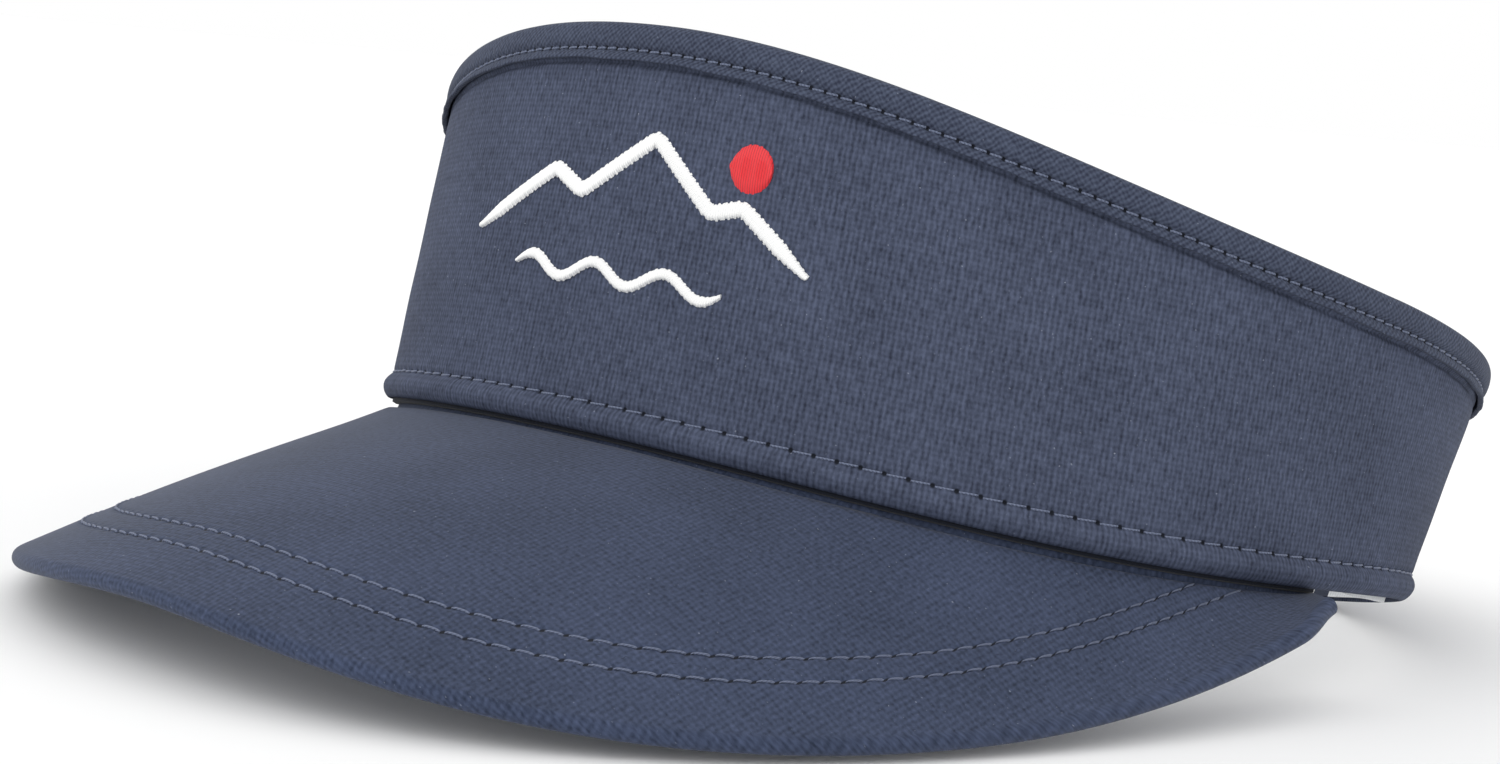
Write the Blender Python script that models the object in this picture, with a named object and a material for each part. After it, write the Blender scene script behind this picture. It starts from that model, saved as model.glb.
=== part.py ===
"""A fabric sun visor: a tall open crown, a long curved brim and a hook-and-loop back.

Frame: metres, +Z up, the brim points to -Y, +X is the wearer's left. The visor stands on its brim and back.

The crown is a leaning band. A place on it is (angle, up, out): angle is in degrees round the head, 0 in the
middle of the front, 90 at +X and 180 in the middle of the back; up is mm above the band's lower edge; out is
mm outside the shell's outer face. The brim is ruled between that band and its own outline. A place on it is
(turn, span, lift): turn runs from -90 to 90 degrees along the outline, span from 0 at the crown to 1 at the
outline, and lift is mm above the brim's upper face.
"""

import math

import bpy
import numpy as np

MM = 0.001

# Crown, mm: half superellipses in plan, and series in cosines of 0, 1, 2, 3 times the angle.
RING_HALF_WIDTH = 98.2
RING_FRONT = 92.0
RING_REAR = 90.4
RING_POWER = 0.94
LOW_EDGE = (-13.2, 7.1, -1.2, 1.6)
BAND_HEIGHT = (51.4, 13.8, 1.9, 0.6)
BAND_LEAN = (0.096, -0.209, 0.045)
CROWN_END = 150.0
CROWN_STEPS = 60

# The crown's layers, mm outside the shell's outer face, and their thicknesses.
GAP = 0.3
SHELL_THICK = 0.7
MIDDLE_OUT = -1.0
MIDDLE_THICK = 0.9
LINING_OUT = -2.2
LINING_THICK = 0.5
LINING_LOW = 1.0
FOAM_OUT = -3.0
FOAM_THICK = 1.2
FOAM_END = 65.0
FOAM_UP = (3.0, 25.0)
STIFFENER_END = 75.0
STIFFENER_LOW = 10.5

# The sweatband: its outer face at the forehead and at the sides, its lower edge above and behind the brim.
SWEATBAND_OUT = (-4.5, -3.1)
SWEATBAND_THICK = 0.7
SWEATBAND_TOP = 28.0
SWEATBAND_END = CROWN_END - 5
SWEATBAND_SIDES = (FOAM_END, FOAM_END + 25)
SWEATBAND_LOW = 0.8
SWEATBAND_HANG = 1.3
SWEATBAND_HANG_ANGLES = (92.0, 98.0)
SWEATBAND_LIFT_ANGLES = (120.0, 140.0)
SWEATBAND_STITCH_IN = 2.5
LABEL_COLUMNS = slice(4, 9)
LABEL_UP = (4.0, 22.0)
LABEL_THICK = 0.4

# The hem: (out, up) of the shell's outer face from its turned-under edge to its stitching, mm.
HEM = ((-0.45, 0.25), (0.0, 0.0), (0.7, 0.6), (1.0, 2.0), (0.7, 3.8), (0.0, 5.1))
HEM_STITCH_UP = 5.3
BINDING_WIDTH = 5.5
BINDING_THICK = 0.6
BINDING_STITCH_UP = 1.8
THREAD_RADIUS = 0.25
THREAD_OUT = GAP + THREAD_RADIUS

# Brim, mm. Its outline is a superellipse; its height is a drop to the front and an arch from side to side.
BRIM_HALF_WIDTH = 109.0
BRIM_CENTRE_Y = -4.0
BRIM_LENGTH = 165.8
BRIM_POWER_X = 0.87
BRIM_POWER_Y = 0.83
BRIM_DROP_LENGTH = 70.0
BRIM_DROP = (28.4, 3.2, 0.16)
BRIM_ARCH_WIDTH = 100.0
BRIM_ARCH = (46.9, -5.0)
BRIM_ARCH_FLATTENING = (-9.2, 0.4)
BRIM_END = 88.0
BRIM_CORNER_IN = 2.5
BRIM_CORNER_ROUND = 3.0
BRIM_CORNER_TURNS = (45.0, 80.0)
BRIM_TUCK = 2.4
BRIM_SEAT = 0.4
COVER_THICK = 0.7
BOARD_THICK = 1.2
BRIM_THICK = 2 * COVER_THICK + 2 * GAP + BOARD_THICK
LIP_RADIUS = BRIM_THICK / 2
TURN_STEPS = 34
SPAN_STEPS = 7
LIP_ANGLES = (55, 20, -20, -55, -90)
ROW_FIRST_SPAN = 0.3
ROW_STEPS = 52
TAB_UP = (0.1, 9.0)
TAB_END = BRIM_END - 3
STITCH_INSETS = {"outer": 12.2, "inner": 17.9}
STITCH_DRIFT = 4.0
STITCH_DRIFT_TURNS = (30.0, 88.0)

# Back closure. The hook strap lies outside the loop strap where they overlap.
STRAP_ROOT = 151.6
STRAP_RAMP = 12.0
STRAP_UP = (5.0, 31.0)
STRAP_THICK = 0.9
PATCH_THICK = 0.5
HOOK_STRAP_END = 205.0
LOOP_STRAP_END = 195.0
STRAP_STEPS = 18
HOOK_PATCH_COLUMNS = slice(6, 17)
LOOP_PATCH_COLUMNS = slice(5, 18)
PATCH_UP = (9.0, 27.0)
ROOT_STITCH_ANGLES = (142.0, 148.5)
STRAP_ROOT_ANGLES = (141.0, 150.8)
HOOK_OVERLAP_OUT = 0.5
LOOP_OVERLAP_OUT = HOOK_OVERLAP_OUT - STRAP_THICK - 2 * PATCH_THICK - 3 * GAP
STRAP_END_ROUND = 9.0
HINGE_ANGLE = 151.2
STRAP_STITCH_IN = 2.0

# Front emblem, mm round the front and mm up.
EMBLEM_OUT = 1.1
EMBLEM_THICK = 0.8
EMBLEM_ARC = 6.5
EMBLEM_UP = 32.0
EMBLEM_WIDTH = 76.0
RIDGE_HEIGHT = 18.0
RIDGE_SHAPE = ((0, 0), (0.26, 0.62), (0.36, 0.42), (0.56, 1.0), (0.74, 0.4), (0.82, 0.5), (1, 0))
SUN_PLACE = (31.0, 47.5)
SUN_RADIUS = 4.0
RIDGE_STROKE = 3.0
WAVE_STROKE = 1.8
WAVE_SIZE = (0.62 * EMBLEM_WIDTH, 1.6)
WAVE_DROP = 5.5

# Standing place: the whole visor leans front-up by this angle, then moves so that the floor is z = 0.
REST_TILT = math.radians(6.7)
CENTRE_Y = 36.0
FLOOR_Z = 29.1

SLATE, SLATE_DARK, PALE, WHITE, RED = "#4A5062", "#3A4052", "#C9CBCE", "#F4F4F2", "#D2232A"


def srgb(hex_colour):
    """Linear RGBA of an sRGB hex colour."""
    parts = [int(hex_colour[i : i + 2], 16) / 255 for i in (1, 3, 5)]
    return [c / 12.92 if c <= 0.04045 else ((c + 0.055) / 1.055) ** 2.4 for c in parts] + [1.0]


def material(name, hex_colour, roughness=0.85, metallic=0.0):
    made = bpy.data.materials.new(name)
    made.use_nodes = True
    shader = made.node_tree.nodes["Principled BSDF"]
    shader.inputs["Base Color"].default_value = srgb(hex_colour)
    shader.inputs["Roughness"].default_value = roughness
    shader.inputs["Metallic"].default_value = metallic
    made.diffuse_color = srgb(hex_colour)
    return made


def signed_power(value, power):
    return np.sign(value) * np.abs(value) ** power


def smooth(value, start, end):
    """0 before start, 1 after end, and an S-curve between them."""
    k = np.clip((np.asarray(value, float) - start) / (end - start), 0, 1)
    return k * k * (3 - 2 * k)


def cosines(series, angle):
    a = np.radians(np.asarray(angle, float))
    return sum(c * np.cos(k * a) for k, c in enumerate(series))


def stand(x, y, z):
    """Head-frame millimetres to the standing visor's metres."""
    c, s = math.cos(REST_TILT), math.sin(REST_TILT)
    placed = (x, y * c + z * s + CENTRE_Y, z * c - y * s + FLOOR_Z)
    return np.stack(np.broadcast_arrays(*placed), axis=-1) * MM


def ring(angle, inset=0.0):
    """Plan of the crown's lower edge, moved in by inset, and its outward normal."""
    a = np.radians(np.asarray(angle, float))
    half = np.where(np.cos(a) > 0, RING_FRONT, RING_REAR)
    x = RING_HALF_WIDTH * signed_power(np.sin(a), RING_POWER)
    y = -half * signed_power(np.cos(a), RING_POWER)
    nx, ny = x / RING_HALF_WIDTH**2, y / half**2
    n = np.hypot(nx, ny)
    nx, ny = nx / n, ny / n
    return x - nx * inset, y - ny * inset, nx, ny


def crown(angle, up, out):
    """World points of the crown at (angle, up, out); the arguments broadcast together."""
    x, y, nx, ny = ring(angle)
    reach = cosines(BAND_LEAN, angle) * up + out
    return stand(x + nx * reach, y + ny * reach, cosines(LOW_EDGE, angle) + up)


def crown_height(angle):
    return cosines(BAND_HEIGHT, angle)


def outline(turn, inset=0.0, corner_in=0.0):
    """Plan of the brim's edge, moved in by inset; its last degrees round the corner by corner_in."""
    a = np.radians(turn)
    rounding = corner_in * smooth(np.abs(turn), BRIM_END - BRIM_CORNER_ROUND, BRIM_END)
    x = (BRIM_HALF_WIDTH - inset - rounding) * signed_power(np.sin(a), BRIM_POWER_X)
    y = BRIM_CENTRE_Y - (BRIM_LENGTH - inset) * np.abs(np.cos(a)) ** BRIM_POWER_Y
    return x, y


def brim_height(x, y):
    f = (-RING_FRONT - y) / BRIM_DROP_LENGTH
    across = (x / BRIM_ARCH_WIDTH) ** 2
    arch = (BRIM_ARCH[0] + BRIM_ARCH[1] * f) * across
    arch = arch + (BRIM_ARCH_FLATTENING[0] + BRIM_ARCH_FLATTENING[1] * f) * across**2
    return -arch - BRIM_DROP[0] * f - BRIM_DROP[1] * f * np.abs(f) - BRIM_DROP[2] * f**3


def brim_face(turn, span):
    """Head-frame points of the upper face, ruled in plan from the crown's edge to the outline.

    It follows brim_height, pulled down to sit under the crown's edge, and is straight at the corners.
    """
    x0, y0, _, _ = ring(turn, BRIM_TUCK)
    x1, y1 = outline(turn, LIP_RADIUS, BRIM_CORNER_IN)
    x, y = x0 + (x1 - x0) * span, y0 + (y1 - y0) * span
    start, end = cosines(LOW_EDGE, turn) - BRIM_SEAT, brim_height(*outline(turn, LIP_RADIUS))
    arched = brim_height(x, y) + (start - brim_height(x0, y0)) * (1 - span) ** 2
    straight = start + (end - start) * span
    z = arched + (straight - arched) * smooth(np.abs(turn), *BRIM_CORNER_TURNS)
    return np.stack(np.broadcast_arrays(x, y, z), axis=-1)


def brim_turns(steps):
    """Turns from corner to corner, closer together at the corners, where the outline is straight."""
    u = np.linspace(-1, 1, steps + 1)
    return BRIM_END * (0.35 * u + 0.65 * np.sin(u * math.pi / 2))


def unit(v):
    return v / np.linalg.norm(v, axis=-1, keepdims=True)


def brim_normal(turn, span):
    """Upward normal and outward edge direction of the upper face, by small differences."""
    t, s = 0.05, 0.002
    low, high = np.maximum(turn - t, -BRIM_END), np.minimum(turn + t, BRIM_END)
    along = brim_face(high, span) - brim_face(low, span)
    outward = brim_face(turn, span + s) - brim_face(turn, span - s)
    normal = unit(np.cross(outward, along))
    return normal, unit(np.cross(along, normal))


def brim(turn, span, lift, outward=0.0):
    """World points of the brim at (turn, span, lift), moved outward in the brim's own plane."""
    args = (turn, span, lift, outward)
    turn, span, lift, outward = np.broadcast_arrays(*(np.asarray(v, float) for v in args))
    normal, edge = brim_normal(turn, span)
    p = brim_face(turn, span) + normal * lift[..., None] + edge * outward[..., None]
    return stand(p[..., 0], p[..., 1], p[..., 2])


def row_span(turn, inset):
    """Span at which a seam lies inset mm inside the outline at the front; it drifts in towards the corners."""
    inset = inset + STITCH_DRIFT * smooth(np.abs(turn), *STITCH_DRIFT_TURNS)
    start, end = brim_face(turn, 0.0), brim_face(turn, 1.0)
    ruling = end - start
    _, edge = brim_normal(turn, 1.0)
    reach = np.abs(np.sum(ruling * edge, axis=-1))
    return 1 - (inset - LIP_RADIUS) / reach


def link(name, data, mat, origin=(0, 0, 0), parent=None):
    data.materials.append(mat)
    made = bpy.data.objects.new(name, data)
    bpy.context.scene.collection.objects.link(made)
    made.parent = parent
    if parent is None:
        made.location = origin
    return made


def grid_faces(grid):
    """Quads of a grid of vertex numbers, facing the side from which rows run up and columns to the right."""
    corners = (grid[:-1, :-1], grid[:-1, 1:], grid[1:, 1:], grid[1:, :-1])
    return np.stack([c.ravel() for c in corners], axis=1)


def mesh_object(name, points, faces, mat, parent=None, origin=(0, 0, 0)):
    mesh = bpy.data.meshes.new(name)
    mesh.from_pydata((points.reshape(-1, 3) - np.array(origin)).tolist(), [], faces.tolist())
    mesh.shade_smooth()
    mesh.set_sharp_from_angle(angle=math.radians(50))
    return link(name, mesh, mat, origin, parent)


def slab(name, outer, inner, mat):
    """A closed plate between two matching grids of points, with its four edges filled."""
    rows, columns = outer.shape[:2]
    top = np.arange(rows * columns).reshape(rows, columns)
    low = top + rows * columns
    rim = np.r_[top[0, :-1], top[:-1, -1], top[-1, :0:-1], top[:0:-1, 0]]
    rim_low = rim + rows * columns
    sides = np.stack([rim, rim_low, np.roll(rim_low, -1), np.roll(rim, -1)], axis=1)
    faces = np.r_[grid_faces(top), grid_faces(low)[:, ::-1], sides]
    return mesh_object(name, np.stack([outer, inner]), faces, mat)


def sheet(name, points, thick, mat, parent=None, origin=(0, 0, 0)):
    """A cloth sheet from a grid of outer-face points, thickened inward by a Solidify modifier."""
    grid = np.arange(points.shape[0] * points.shape[1]).reshape(points.shape[:2])
    made = mesh_object(name, points, grid_faces(grid), mat, parent, origin)
    solid = made.modifiers.new("thickness", "SOLIDIFY")
    solid.thickness = thick * MM
    solid.offset = -1.0
    solid.use_even_offset = True
    return made


def thread(name, points, mat, closed=False, parent=None, origin=(0, 0, 0)):
    """A stitched thread: a thin round-bevelled curve through the points."""
    curve = bpy.data.curves.new(name, "CURVE")
    curve.dimensions = "3D"
    curve.bevel_depth = THREAD_RADIUS * MM
    curve.bevel_resolution = 0
    curve.use_fill_caps = not closed
    spline = curve.splines.new("POLY")
    spline.points.add(len(points) - 1)
    local = points - np.array(origin)
    spline.points.foreach_set("co", np.c_[local, np.ones(len(points))].ravel())
    spline.use_cyclic_u = closed
    return link(name, curve, mat, origin, parent)


def crown_angles(end):
    """The crown's own column angles out to an end, so that its layers share their facets."""
    every = np.linspace(-CROWN_END, CROWN_END, CROWN_STEPS + 1)
    return every[np.abs(every) <= end + 0.1]


def crown_sheet(name, angles, rows, thick, mat, **kw):
    """A sheet of the crown: rows is a list of (out, up), each a number or one value for each angle."""
    points = [crown(angles, np.asarray(up, float), np.asarray(out, float)) for out, up in rows]
    return sheet(name, np.stack(points), thick, mat, **kw)


def build_crown(mats):
    angles = crown_angles(CROWN_END)
    height = crown_height(angles)
    crown_sheet("crown_shell", angles, list(HEM) + [(0.0, height)], SHELL_THICK, mats["fabric"])
    rows = [(LINING_OUT, LINING_LOW), (LINING_OUT, height)]
    crown_sheet("crown_lining", angles, rows, LINING_THICK, mats["lining"])

    near = crown_angles(STIFFENER_END)
    rows = [(MIDDLE_OUT, STIFFENER_LOW), (MIDDLE_OUT, crown_height(near))]
    crown_sheet("front_stiffener", near, rows, MIDDLE_THICK, mats["buckram"])

    outer, inner = GAP + BINDING_THICK, LINING_OUT - LINING_THICK - GAP - BINDING_THICK
    top = height + GAP + BINDING_THICK
    skirt = height - BINDING_WIDTH
    wrap = [(outer, skirt), (outer, top), (inner, top), (inner, skirt)]
    crown_sheet("top_binding", angles, wrap, BINDING_THICK, mats["fabric"])
    thread("top_binding_stitch", crown(angles, skirt + BINDING_STITCH_UP, outer + THREAD_OUT), mats["thread"])
    thread("hem_stitch", crown(angles, HEM_STITCH_UP, THREAD_OUT), mats["thread"])


def sweatband_out(angle):
    """The sweatband's outer face stands further in at the front, over its foam pad."""
    front, side = SWEATBAND_OUT
    return front + (side - front) * smooth(np.abs(angle), *SWEATBAND_SIDES)


def build_sweatband(mats):
    angles = crown_angles(SWEATBAND_END)
    out = sweatband_out(angles)
    hang = smooth(np.abs(angles), *SWEATBAND_HANG_ANGLES) - smooth(np.abs(angles), *SWEATBAND_LIFT_ANGLES)
    low = SWEATBAND_LOW - SWEATBAND_HANG * hang
    crown_sheet("sweatband", angles, [(out, low), (out, SWEATBAND_TOP)], SWEATBAND_THICK, mats["sweatband"])
    seam = crown(angles, SWEATBAND_TOP - SWEATBAND_STITCH_IN, out - SWEATBAND_THICK - THREAD_OUT)
    thread("sweatband_stitch", seam, mats["thread"])

    near = crown_angles(FOAM_END)
    crown_sheet("sweatband_foam", near, [(FOAM_OUT, up) for up in FOAM_UP], FOAM_THICK, mats["foam"])

    label = crown_angles(CROWN_END)[LABEL_COLUMNS]
    label_out = SWEATBAND_OUT[1] - SWEATBAND_THICK - GAP
    crown_sheet("care_label", label, [(label_out, up) for up in LABEL_UP], LABEL_THICK, mats["label"])


def build_brim(mats):
    turns = brim_turns(TURN_STEPS)
    spans = np.linspace(0, 1, SPAN_STEPS + 1)
    length = np.linalg.norm(brim_face(turns, 1.0) - brim_face(turns, 0.0), axis=-1)
    margin = 1 - 2 * GAP / length
    board_lift = -COVER_THICK - GAP
    under_lift = COVER_THICK - BRIM_THICK

    def layer(lift, scale=1.0):
        return np.stack([brim(turns, s * scale, lift) for s in spans])[:, ::-1]

    def lip(radius):
        """The cover's edge, rolled half round the board at this radius."""
        roll = np.radians(LIP_ANGLES)
        arc = [brim(turns, 1.0, radius * math.sin(r) - LIP_RADIUS, radius * math.cos(r)) for r in roll]
        return np.stack(arc)[:, ::-1]

    outer = np.r_[layer(0.0), lip(LIP_RADIUS)]
    inner = np.r_[layer(-COVER_THICK), lip(LIP_RADIUS - COVER_THICK)]
    slab("brim_top_cover", outer, inner, mats["fabric"])
    slab("brim_board", layer(board_lift), layer(board_lift - BOARD_THICK), mats["board"])
    slab("brim_under_cover", layer(under_lift, margin), layer(-BRIM_THICK, margin), mats["fabric"])

    tab = crown_angles(TAB_END)
    crown_sheet("brim_seam_tab", tab, [(MIDDLE_OUT, up) for up in TAB_UP], MIDDLE_THICK, mats["fabric"])

    for row, inset in STITCH_INSETS.items():
        path = brim_turns(ROW_STEPS)
        path = path[row_span(path, inset) > ROW_FIRST_SPAN]
        span = row_span(path, inset)
        thread(f"brim_stitch_{row}", brim(path, span, THREAD_OUT), mats["thread"])
        below = brim(path, span, -BRIM_THICK - THREAD_OUT)
        thread(f"brim_under_stitch_{row}", below, mats["thread"])


def strap_out(angle, overlap_out):
    """Outer face of a strap, from the middle layer of the crown's end to its place in the overlap."""
    ramp = smooth(np.abs(angle), STRAP_ROOT, STRAP_ROOT + STRAP_RAMP)
    return MIDDLE_OUT + (overlap_out - MIDDLE_OUT) * ramp


def strap_bounds(angles, inset=0.0):
    """Lower and upper edge of a strap whose far end is rounded, as heights up the band."""
    middle, half = sum(STRAP_UP) / 2, (STRAP_UP[1] - STRAP_UP[0]) / 2 - inset
    left = np.abs(angles[-1] - angles)
    near_end = np.clip(1 - left / STRAP_END_ROUND, 0, 1)
    half = half * np.sqrt(1 - 0.75 * near_end**2)
    return middle - half, middle + half


def hinge(name, angle):
    """An empty on a strap's fold line, and its place."""
    foot, head = crown(angle, np.array(STRAP_UP), MIDDLE_OUT - MIDDLE_THICK / 2)
    empty = bpy.data.objects.new(name, None)
    bpy.context.scene.collection.objects.link(empty)
    empty.location = (foot + head) / 2
    return empty, (foot + head) / 2


def strap_sheet(name, angles, out, up, thick, mat, **place):
    """A sheet of a strap, wound so that its outer face looks away from the head on either side."""
    order = slice(None) if angles[0] < angles[-1] else slice(None, None, -1)
    rows = [(np.broadcast_to(out, angles.shape)[order], np.broadcast_to(u, angles.shape)[order]) for u in up]
    crown_sheet(name, angles[order], rows, thick, mat, **place)


def thread_loop(name, angles, out, low, high, mat, **place):
    """A closed seam along a low and a high line between two ends."""
    low_line, high_line = crown(angles, low, out), crown(angles, high, out)
    thread(name, np.r_[low_line, high_line[::-1]], mat, closed=True, **place)


def build_strap(side, name, end, overlap_out, stitch_out, mats):
    """One strap end, its edge stitching and the box stitch that holds it; side is 1 at the wearer's left."""
    empty, pivot = hinge(f"{name}_strap_hinge", side * HINGE_ANGLE)
    place = {"parent": empty, "origin": pivot}
    angles = side * np.linspace(STRAP_ROOT, end, STRAP_STEPS + 1)
    out = strap_out(angles, overlap_out)
    bounds = strap_bounds(angles)
    strap_sheet(f"{name}_strap", angles, out, bounds, STRAP_THICK, mats["fabric"], **place)
    low, high = strap_bounds(angles, STRAP_STITCH_IN)
    seam = slice(1, -1)
    seam_out = out[seam] + stitch_out
    low, high = low[seam], high[seam]
    thread_loop(f"{name}_strap_stitch", angles[seam], seam_out, low, high, mats["thread"], **place)

    root = side * np.linspace(*STRAP_ROOT_ANGLES, 4)
    strap_sheet(f"{name}_strap_root", root, MIDDLE_OUT, STRAP_UP, STRAP_THICK, mats["fabric"])
    box = side * np.linspace(*ROOT_STITCH_ANGLES, 4)
    low, high = STRAP_UP[0] + STRAP_STITCH_IN, STRAP_UP[1] - STRAP_STITCH_IN
    thread_loop(f"{name}_root_stitch", box, THREAD_OUT, low, high, mats["thread"])
    return angles, place


def build_closure(mats):
    outside, inside = THREAD_OUT, -STRAP_THICK - THREAD_OUT
    hook, place = build_strap(1, "hook", HOOK_STRAP_END, HOOK_OVERLAP_OUT, outside, mats)
    patch = hook[HOOK_PATCH_COLUMNS]
    patch_out = HOOK_OVERLAP_OUT - STRAP_THICK - GAP
    strap_sheet("hook_patch", patch, patch_out, PATCH_UP, PATCH_THICK, mats["hook"], **place)

    loop, place = build_strap(-1, "loop", LOOP_STRAP_END, LOOP_OVERLAP_OUT, inside, mats)
    patch = loop[LOOP_PATCH_COLUMNS]
    patch_out = LOOP_OVERLAP_OUT + GAP + PATCH_THICK
    strap_sheet("loop_patch", patch, patch_out, PATCH_UP, PATCH_THICK, mats["loop"], **place)


def front_angle(arc):
    """Angle round the head of a place this many mm round the front of the lower edge."""
    angles = np.linspace(-80, 80, 321)
    x, y, _, _ = ring(angles)
    length = np.r_[0, np.cumsum(np.hypot(np.diff(x), np.diff(y)))]
    return np.interp(arc, length - length[-1] / 2, angles)


def stroke(name, centre, width, mat):
    """A raised satin-stitched line along the (arc, up) points of centre, pointed at both ends."""
    slope = unit(np.gradient(centre, axis=0))
    across = np.c_[-slope[:, 1], slope[:, 0]]
    half = width / 2 * np.clip(np.sin(np.linspace(0.12, math.pi - 0.12, len(centre))) * 2, 0.2, 1)
    sides = [centre + across * (half * k)[:, None] for k in (-1, 1)]
    grid = [crown(front_angle(e[:, 0]), e[:, 1], EMBLEM_OUT) for e in sides]
    sheet(name, np.stack(grid), EMBLEM_THICK, mat)


def build_emblem(mats):
    """A generic mark on the front: a ridge line over a wave, and a round sun."""
    k = np.linspace(0, 1, 33)
    ridge = RIDGE_HEIGHT * np.interp(k, *zip(*RIDGE_SHAPE))
    line = np.c_[EMBLEM_ARC + EMBLEM_WIDTH * (k - 0.5), EMBLEM_UP + ridge]
    stroke("emblem_ridge", line, RIDGE_STROKE, mats["white"])
    wave = WAVE_SIZE[1] * np.sin(k * 3 * 2 * math.pi)
    line = np.c_[EMBLEM_ARC + WAVE_SIZE[0] * (k - 0.5), EMBLEM_UP - WAVE_DROP + wave]
    stroke("emblem_wave", line, WAVE_STROKE, mats["white"])

    turn = np.linspace(0, 2 * math.pi, 17)[:-1]
    rim = np.c_[SUN_PLACE[0] + SUN_RADIUS * np.cos(turn), SUN_PLACE[1] + SUN_RADIUS * np.sin(turn)]
    face = crown(front_angle(rim[:, 0]), rim[:, 1], EMBLEM_OUT)
    back = crown(front_angle(rim[:, 0]), rim[:, 1], EMBLEM_OUT - EMBLEM_THICK)
    made = bpy.data.meshes.new("emblem_sun")
    count = len(turn)
    side = [[i, i + count, (i + 1) % count + count, (i + 1) % count] for i in range(count)]
    faces = [list(range(count)), list(range(2 * count - 1, count - 1, -1))] + side
    made.from_pydata(np.r_[face, back].tolist(), [], faces)
    link("emblem_sun", made, mats["red"])


def main():
    for old in list(bpy.data.objects):
        bpy.data.objects.remove(old, do_unlink=True)
    mats = {
        "fabric": material("slate fabric", SLATE),
        "lining": material("dark lining", SLATE_DARK),
        "buckram": material("buckram", WHITE, 0.9),
        "sweatband": material("pale sweatband", PALE, 0.9),
        "foam": material("foam", WHITE, 0.95),
        "board": material("brim board", WHITE, 0.45),
        "thread": material("slate thread", "#6E7690", 0.6),
        "white": material("white thread", WHITE, 0.5),
        "red": material("red thread", RED, 0.5),
        "hook": material("hook tape", SLATE_DARK, 0.6),
        "loop": material("loop tape", SLATE_DARK, 0.95),
        "label": material("label", WHITE, 0.7),
    }
    build_crown(mats)
    build_sweatband(mats)
    build_brim(mats)
    build_closure(mats)
    build_emblem(mats)


main()
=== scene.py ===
"""A slate-blue fabric sun visor: a tall open crown with a bound top edge, a long brim and a strapped back.

Places are worked out in millimetres in the wearer's frame and then stood on the floor. A place on the crown
is (angle, up, out): angle in degrees round the head, 0 in the middle of the front and 90 at the wearer's left;
up is mm above the crown's lower edge; out is mm outside the shell. A place on the brim is (turn, span, lift):
turn in degrees along the outline, span from 0 at the crown to 1 at the outline, lift in mm above the upper
face. Every piece is a grid of such places, computed as whole arrays, with its cloth pattern in centimetres in
the UV map "cloth" and its stitching in the UV map "seam": the stitch number along the row, and mm to its side.
"""

import math

import bpy
import numpy as np
from mathutils import Matrix, Vector


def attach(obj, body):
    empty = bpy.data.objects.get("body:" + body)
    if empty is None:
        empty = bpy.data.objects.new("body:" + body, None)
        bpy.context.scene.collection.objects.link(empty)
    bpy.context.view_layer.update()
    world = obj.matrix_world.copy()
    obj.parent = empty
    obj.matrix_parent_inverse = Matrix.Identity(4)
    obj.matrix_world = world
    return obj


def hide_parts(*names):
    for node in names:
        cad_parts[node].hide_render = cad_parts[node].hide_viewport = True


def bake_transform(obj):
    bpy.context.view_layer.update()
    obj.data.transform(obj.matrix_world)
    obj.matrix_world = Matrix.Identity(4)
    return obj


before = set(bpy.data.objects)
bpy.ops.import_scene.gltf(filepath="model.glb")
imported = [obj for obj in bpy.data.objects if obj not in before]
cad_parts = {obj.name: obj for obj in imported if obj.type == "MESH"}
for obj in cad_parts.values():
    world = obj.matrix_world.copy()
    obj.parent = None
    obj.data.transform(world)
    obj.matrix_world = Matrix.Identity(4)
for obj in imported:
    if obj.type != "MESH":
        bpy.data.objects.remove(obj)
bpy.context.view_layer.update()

MM = 0.001

# Crown, mm: half superellipses in plan, and series in cosines of 0, 1, 2, 3 times the angle.
RING_HALF_WIDTH = 98.2
RING_FRONT = 92.0
RING_REAR = 90.4
RING_POWER = 0.94
LOW_EDGE = (-13.2, 7.1, -1.2, 1.6)
BAND_HEIGHT = (51.4, 13.8, 1.9, 0.6)
BAND_LEAN = (0.096, -0.209, 0.045)
CROWN_END = 150.0
SHELL_THICK = 0.7
LINING_OUT = -2.2
LINING_THICK = 0.5
SWEATBAND_OUT = (-4.5, -3.1)
SWEATBAND_THICK = 0.7
SWEATBAND_TOP = 28.0
SWEATBAND_END = 145.0
SWEATBAND_SEAM_UP = SWEATBAND_TOP - 2.5
FOAM_END = 65.0
HEM_STITCH_UP = 5.2
BINDING_WIDTH = 5.5
BINDING_STITCH_UP = 1.8

# Brim, mm.
BRIM_HALF_WIDTH = 109.0
BRIM_CENTRE_Y = -4.0
BRIM_LENGTH = 165.8
BRIM_POWER_X = 0.87
BRIM_POWER_Y = 0.83
BRIM_DROP_LENGTH = 70.0
BRIM_DROP = (28.4, 3.2, 0.16)
BRIM_ARCH_WIDTH = 100.0
BRIM_ARCH = (46.9, -5.0)
BRIM_ARCH_FLATTENING = (-9.2, 0.4)
BRIM_END = 88.0
BRIM_CORNER_IN = 2.5
BRIM_CORNER_ROUND = 3.0
BRIM_CORNER_TURNS = (45.0, 80.0)
BRIM_TUCK = 2.4
BRIM_SEAT = 0.4
BRIM_THICK = 3.2
COVER_THICK = 0.7
LIP_RADIUS = BRIM_THICK / 2
BRIM_ROWS = {"outer": 12.2, "inner": 17.9}
ROW_MIDDLE = sum(BRIM_ROWS.values()) / 2
ROW_DRIFT = 4.0
ROW_DRIFT_TURNS = (30.0, 88.0)

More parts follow.
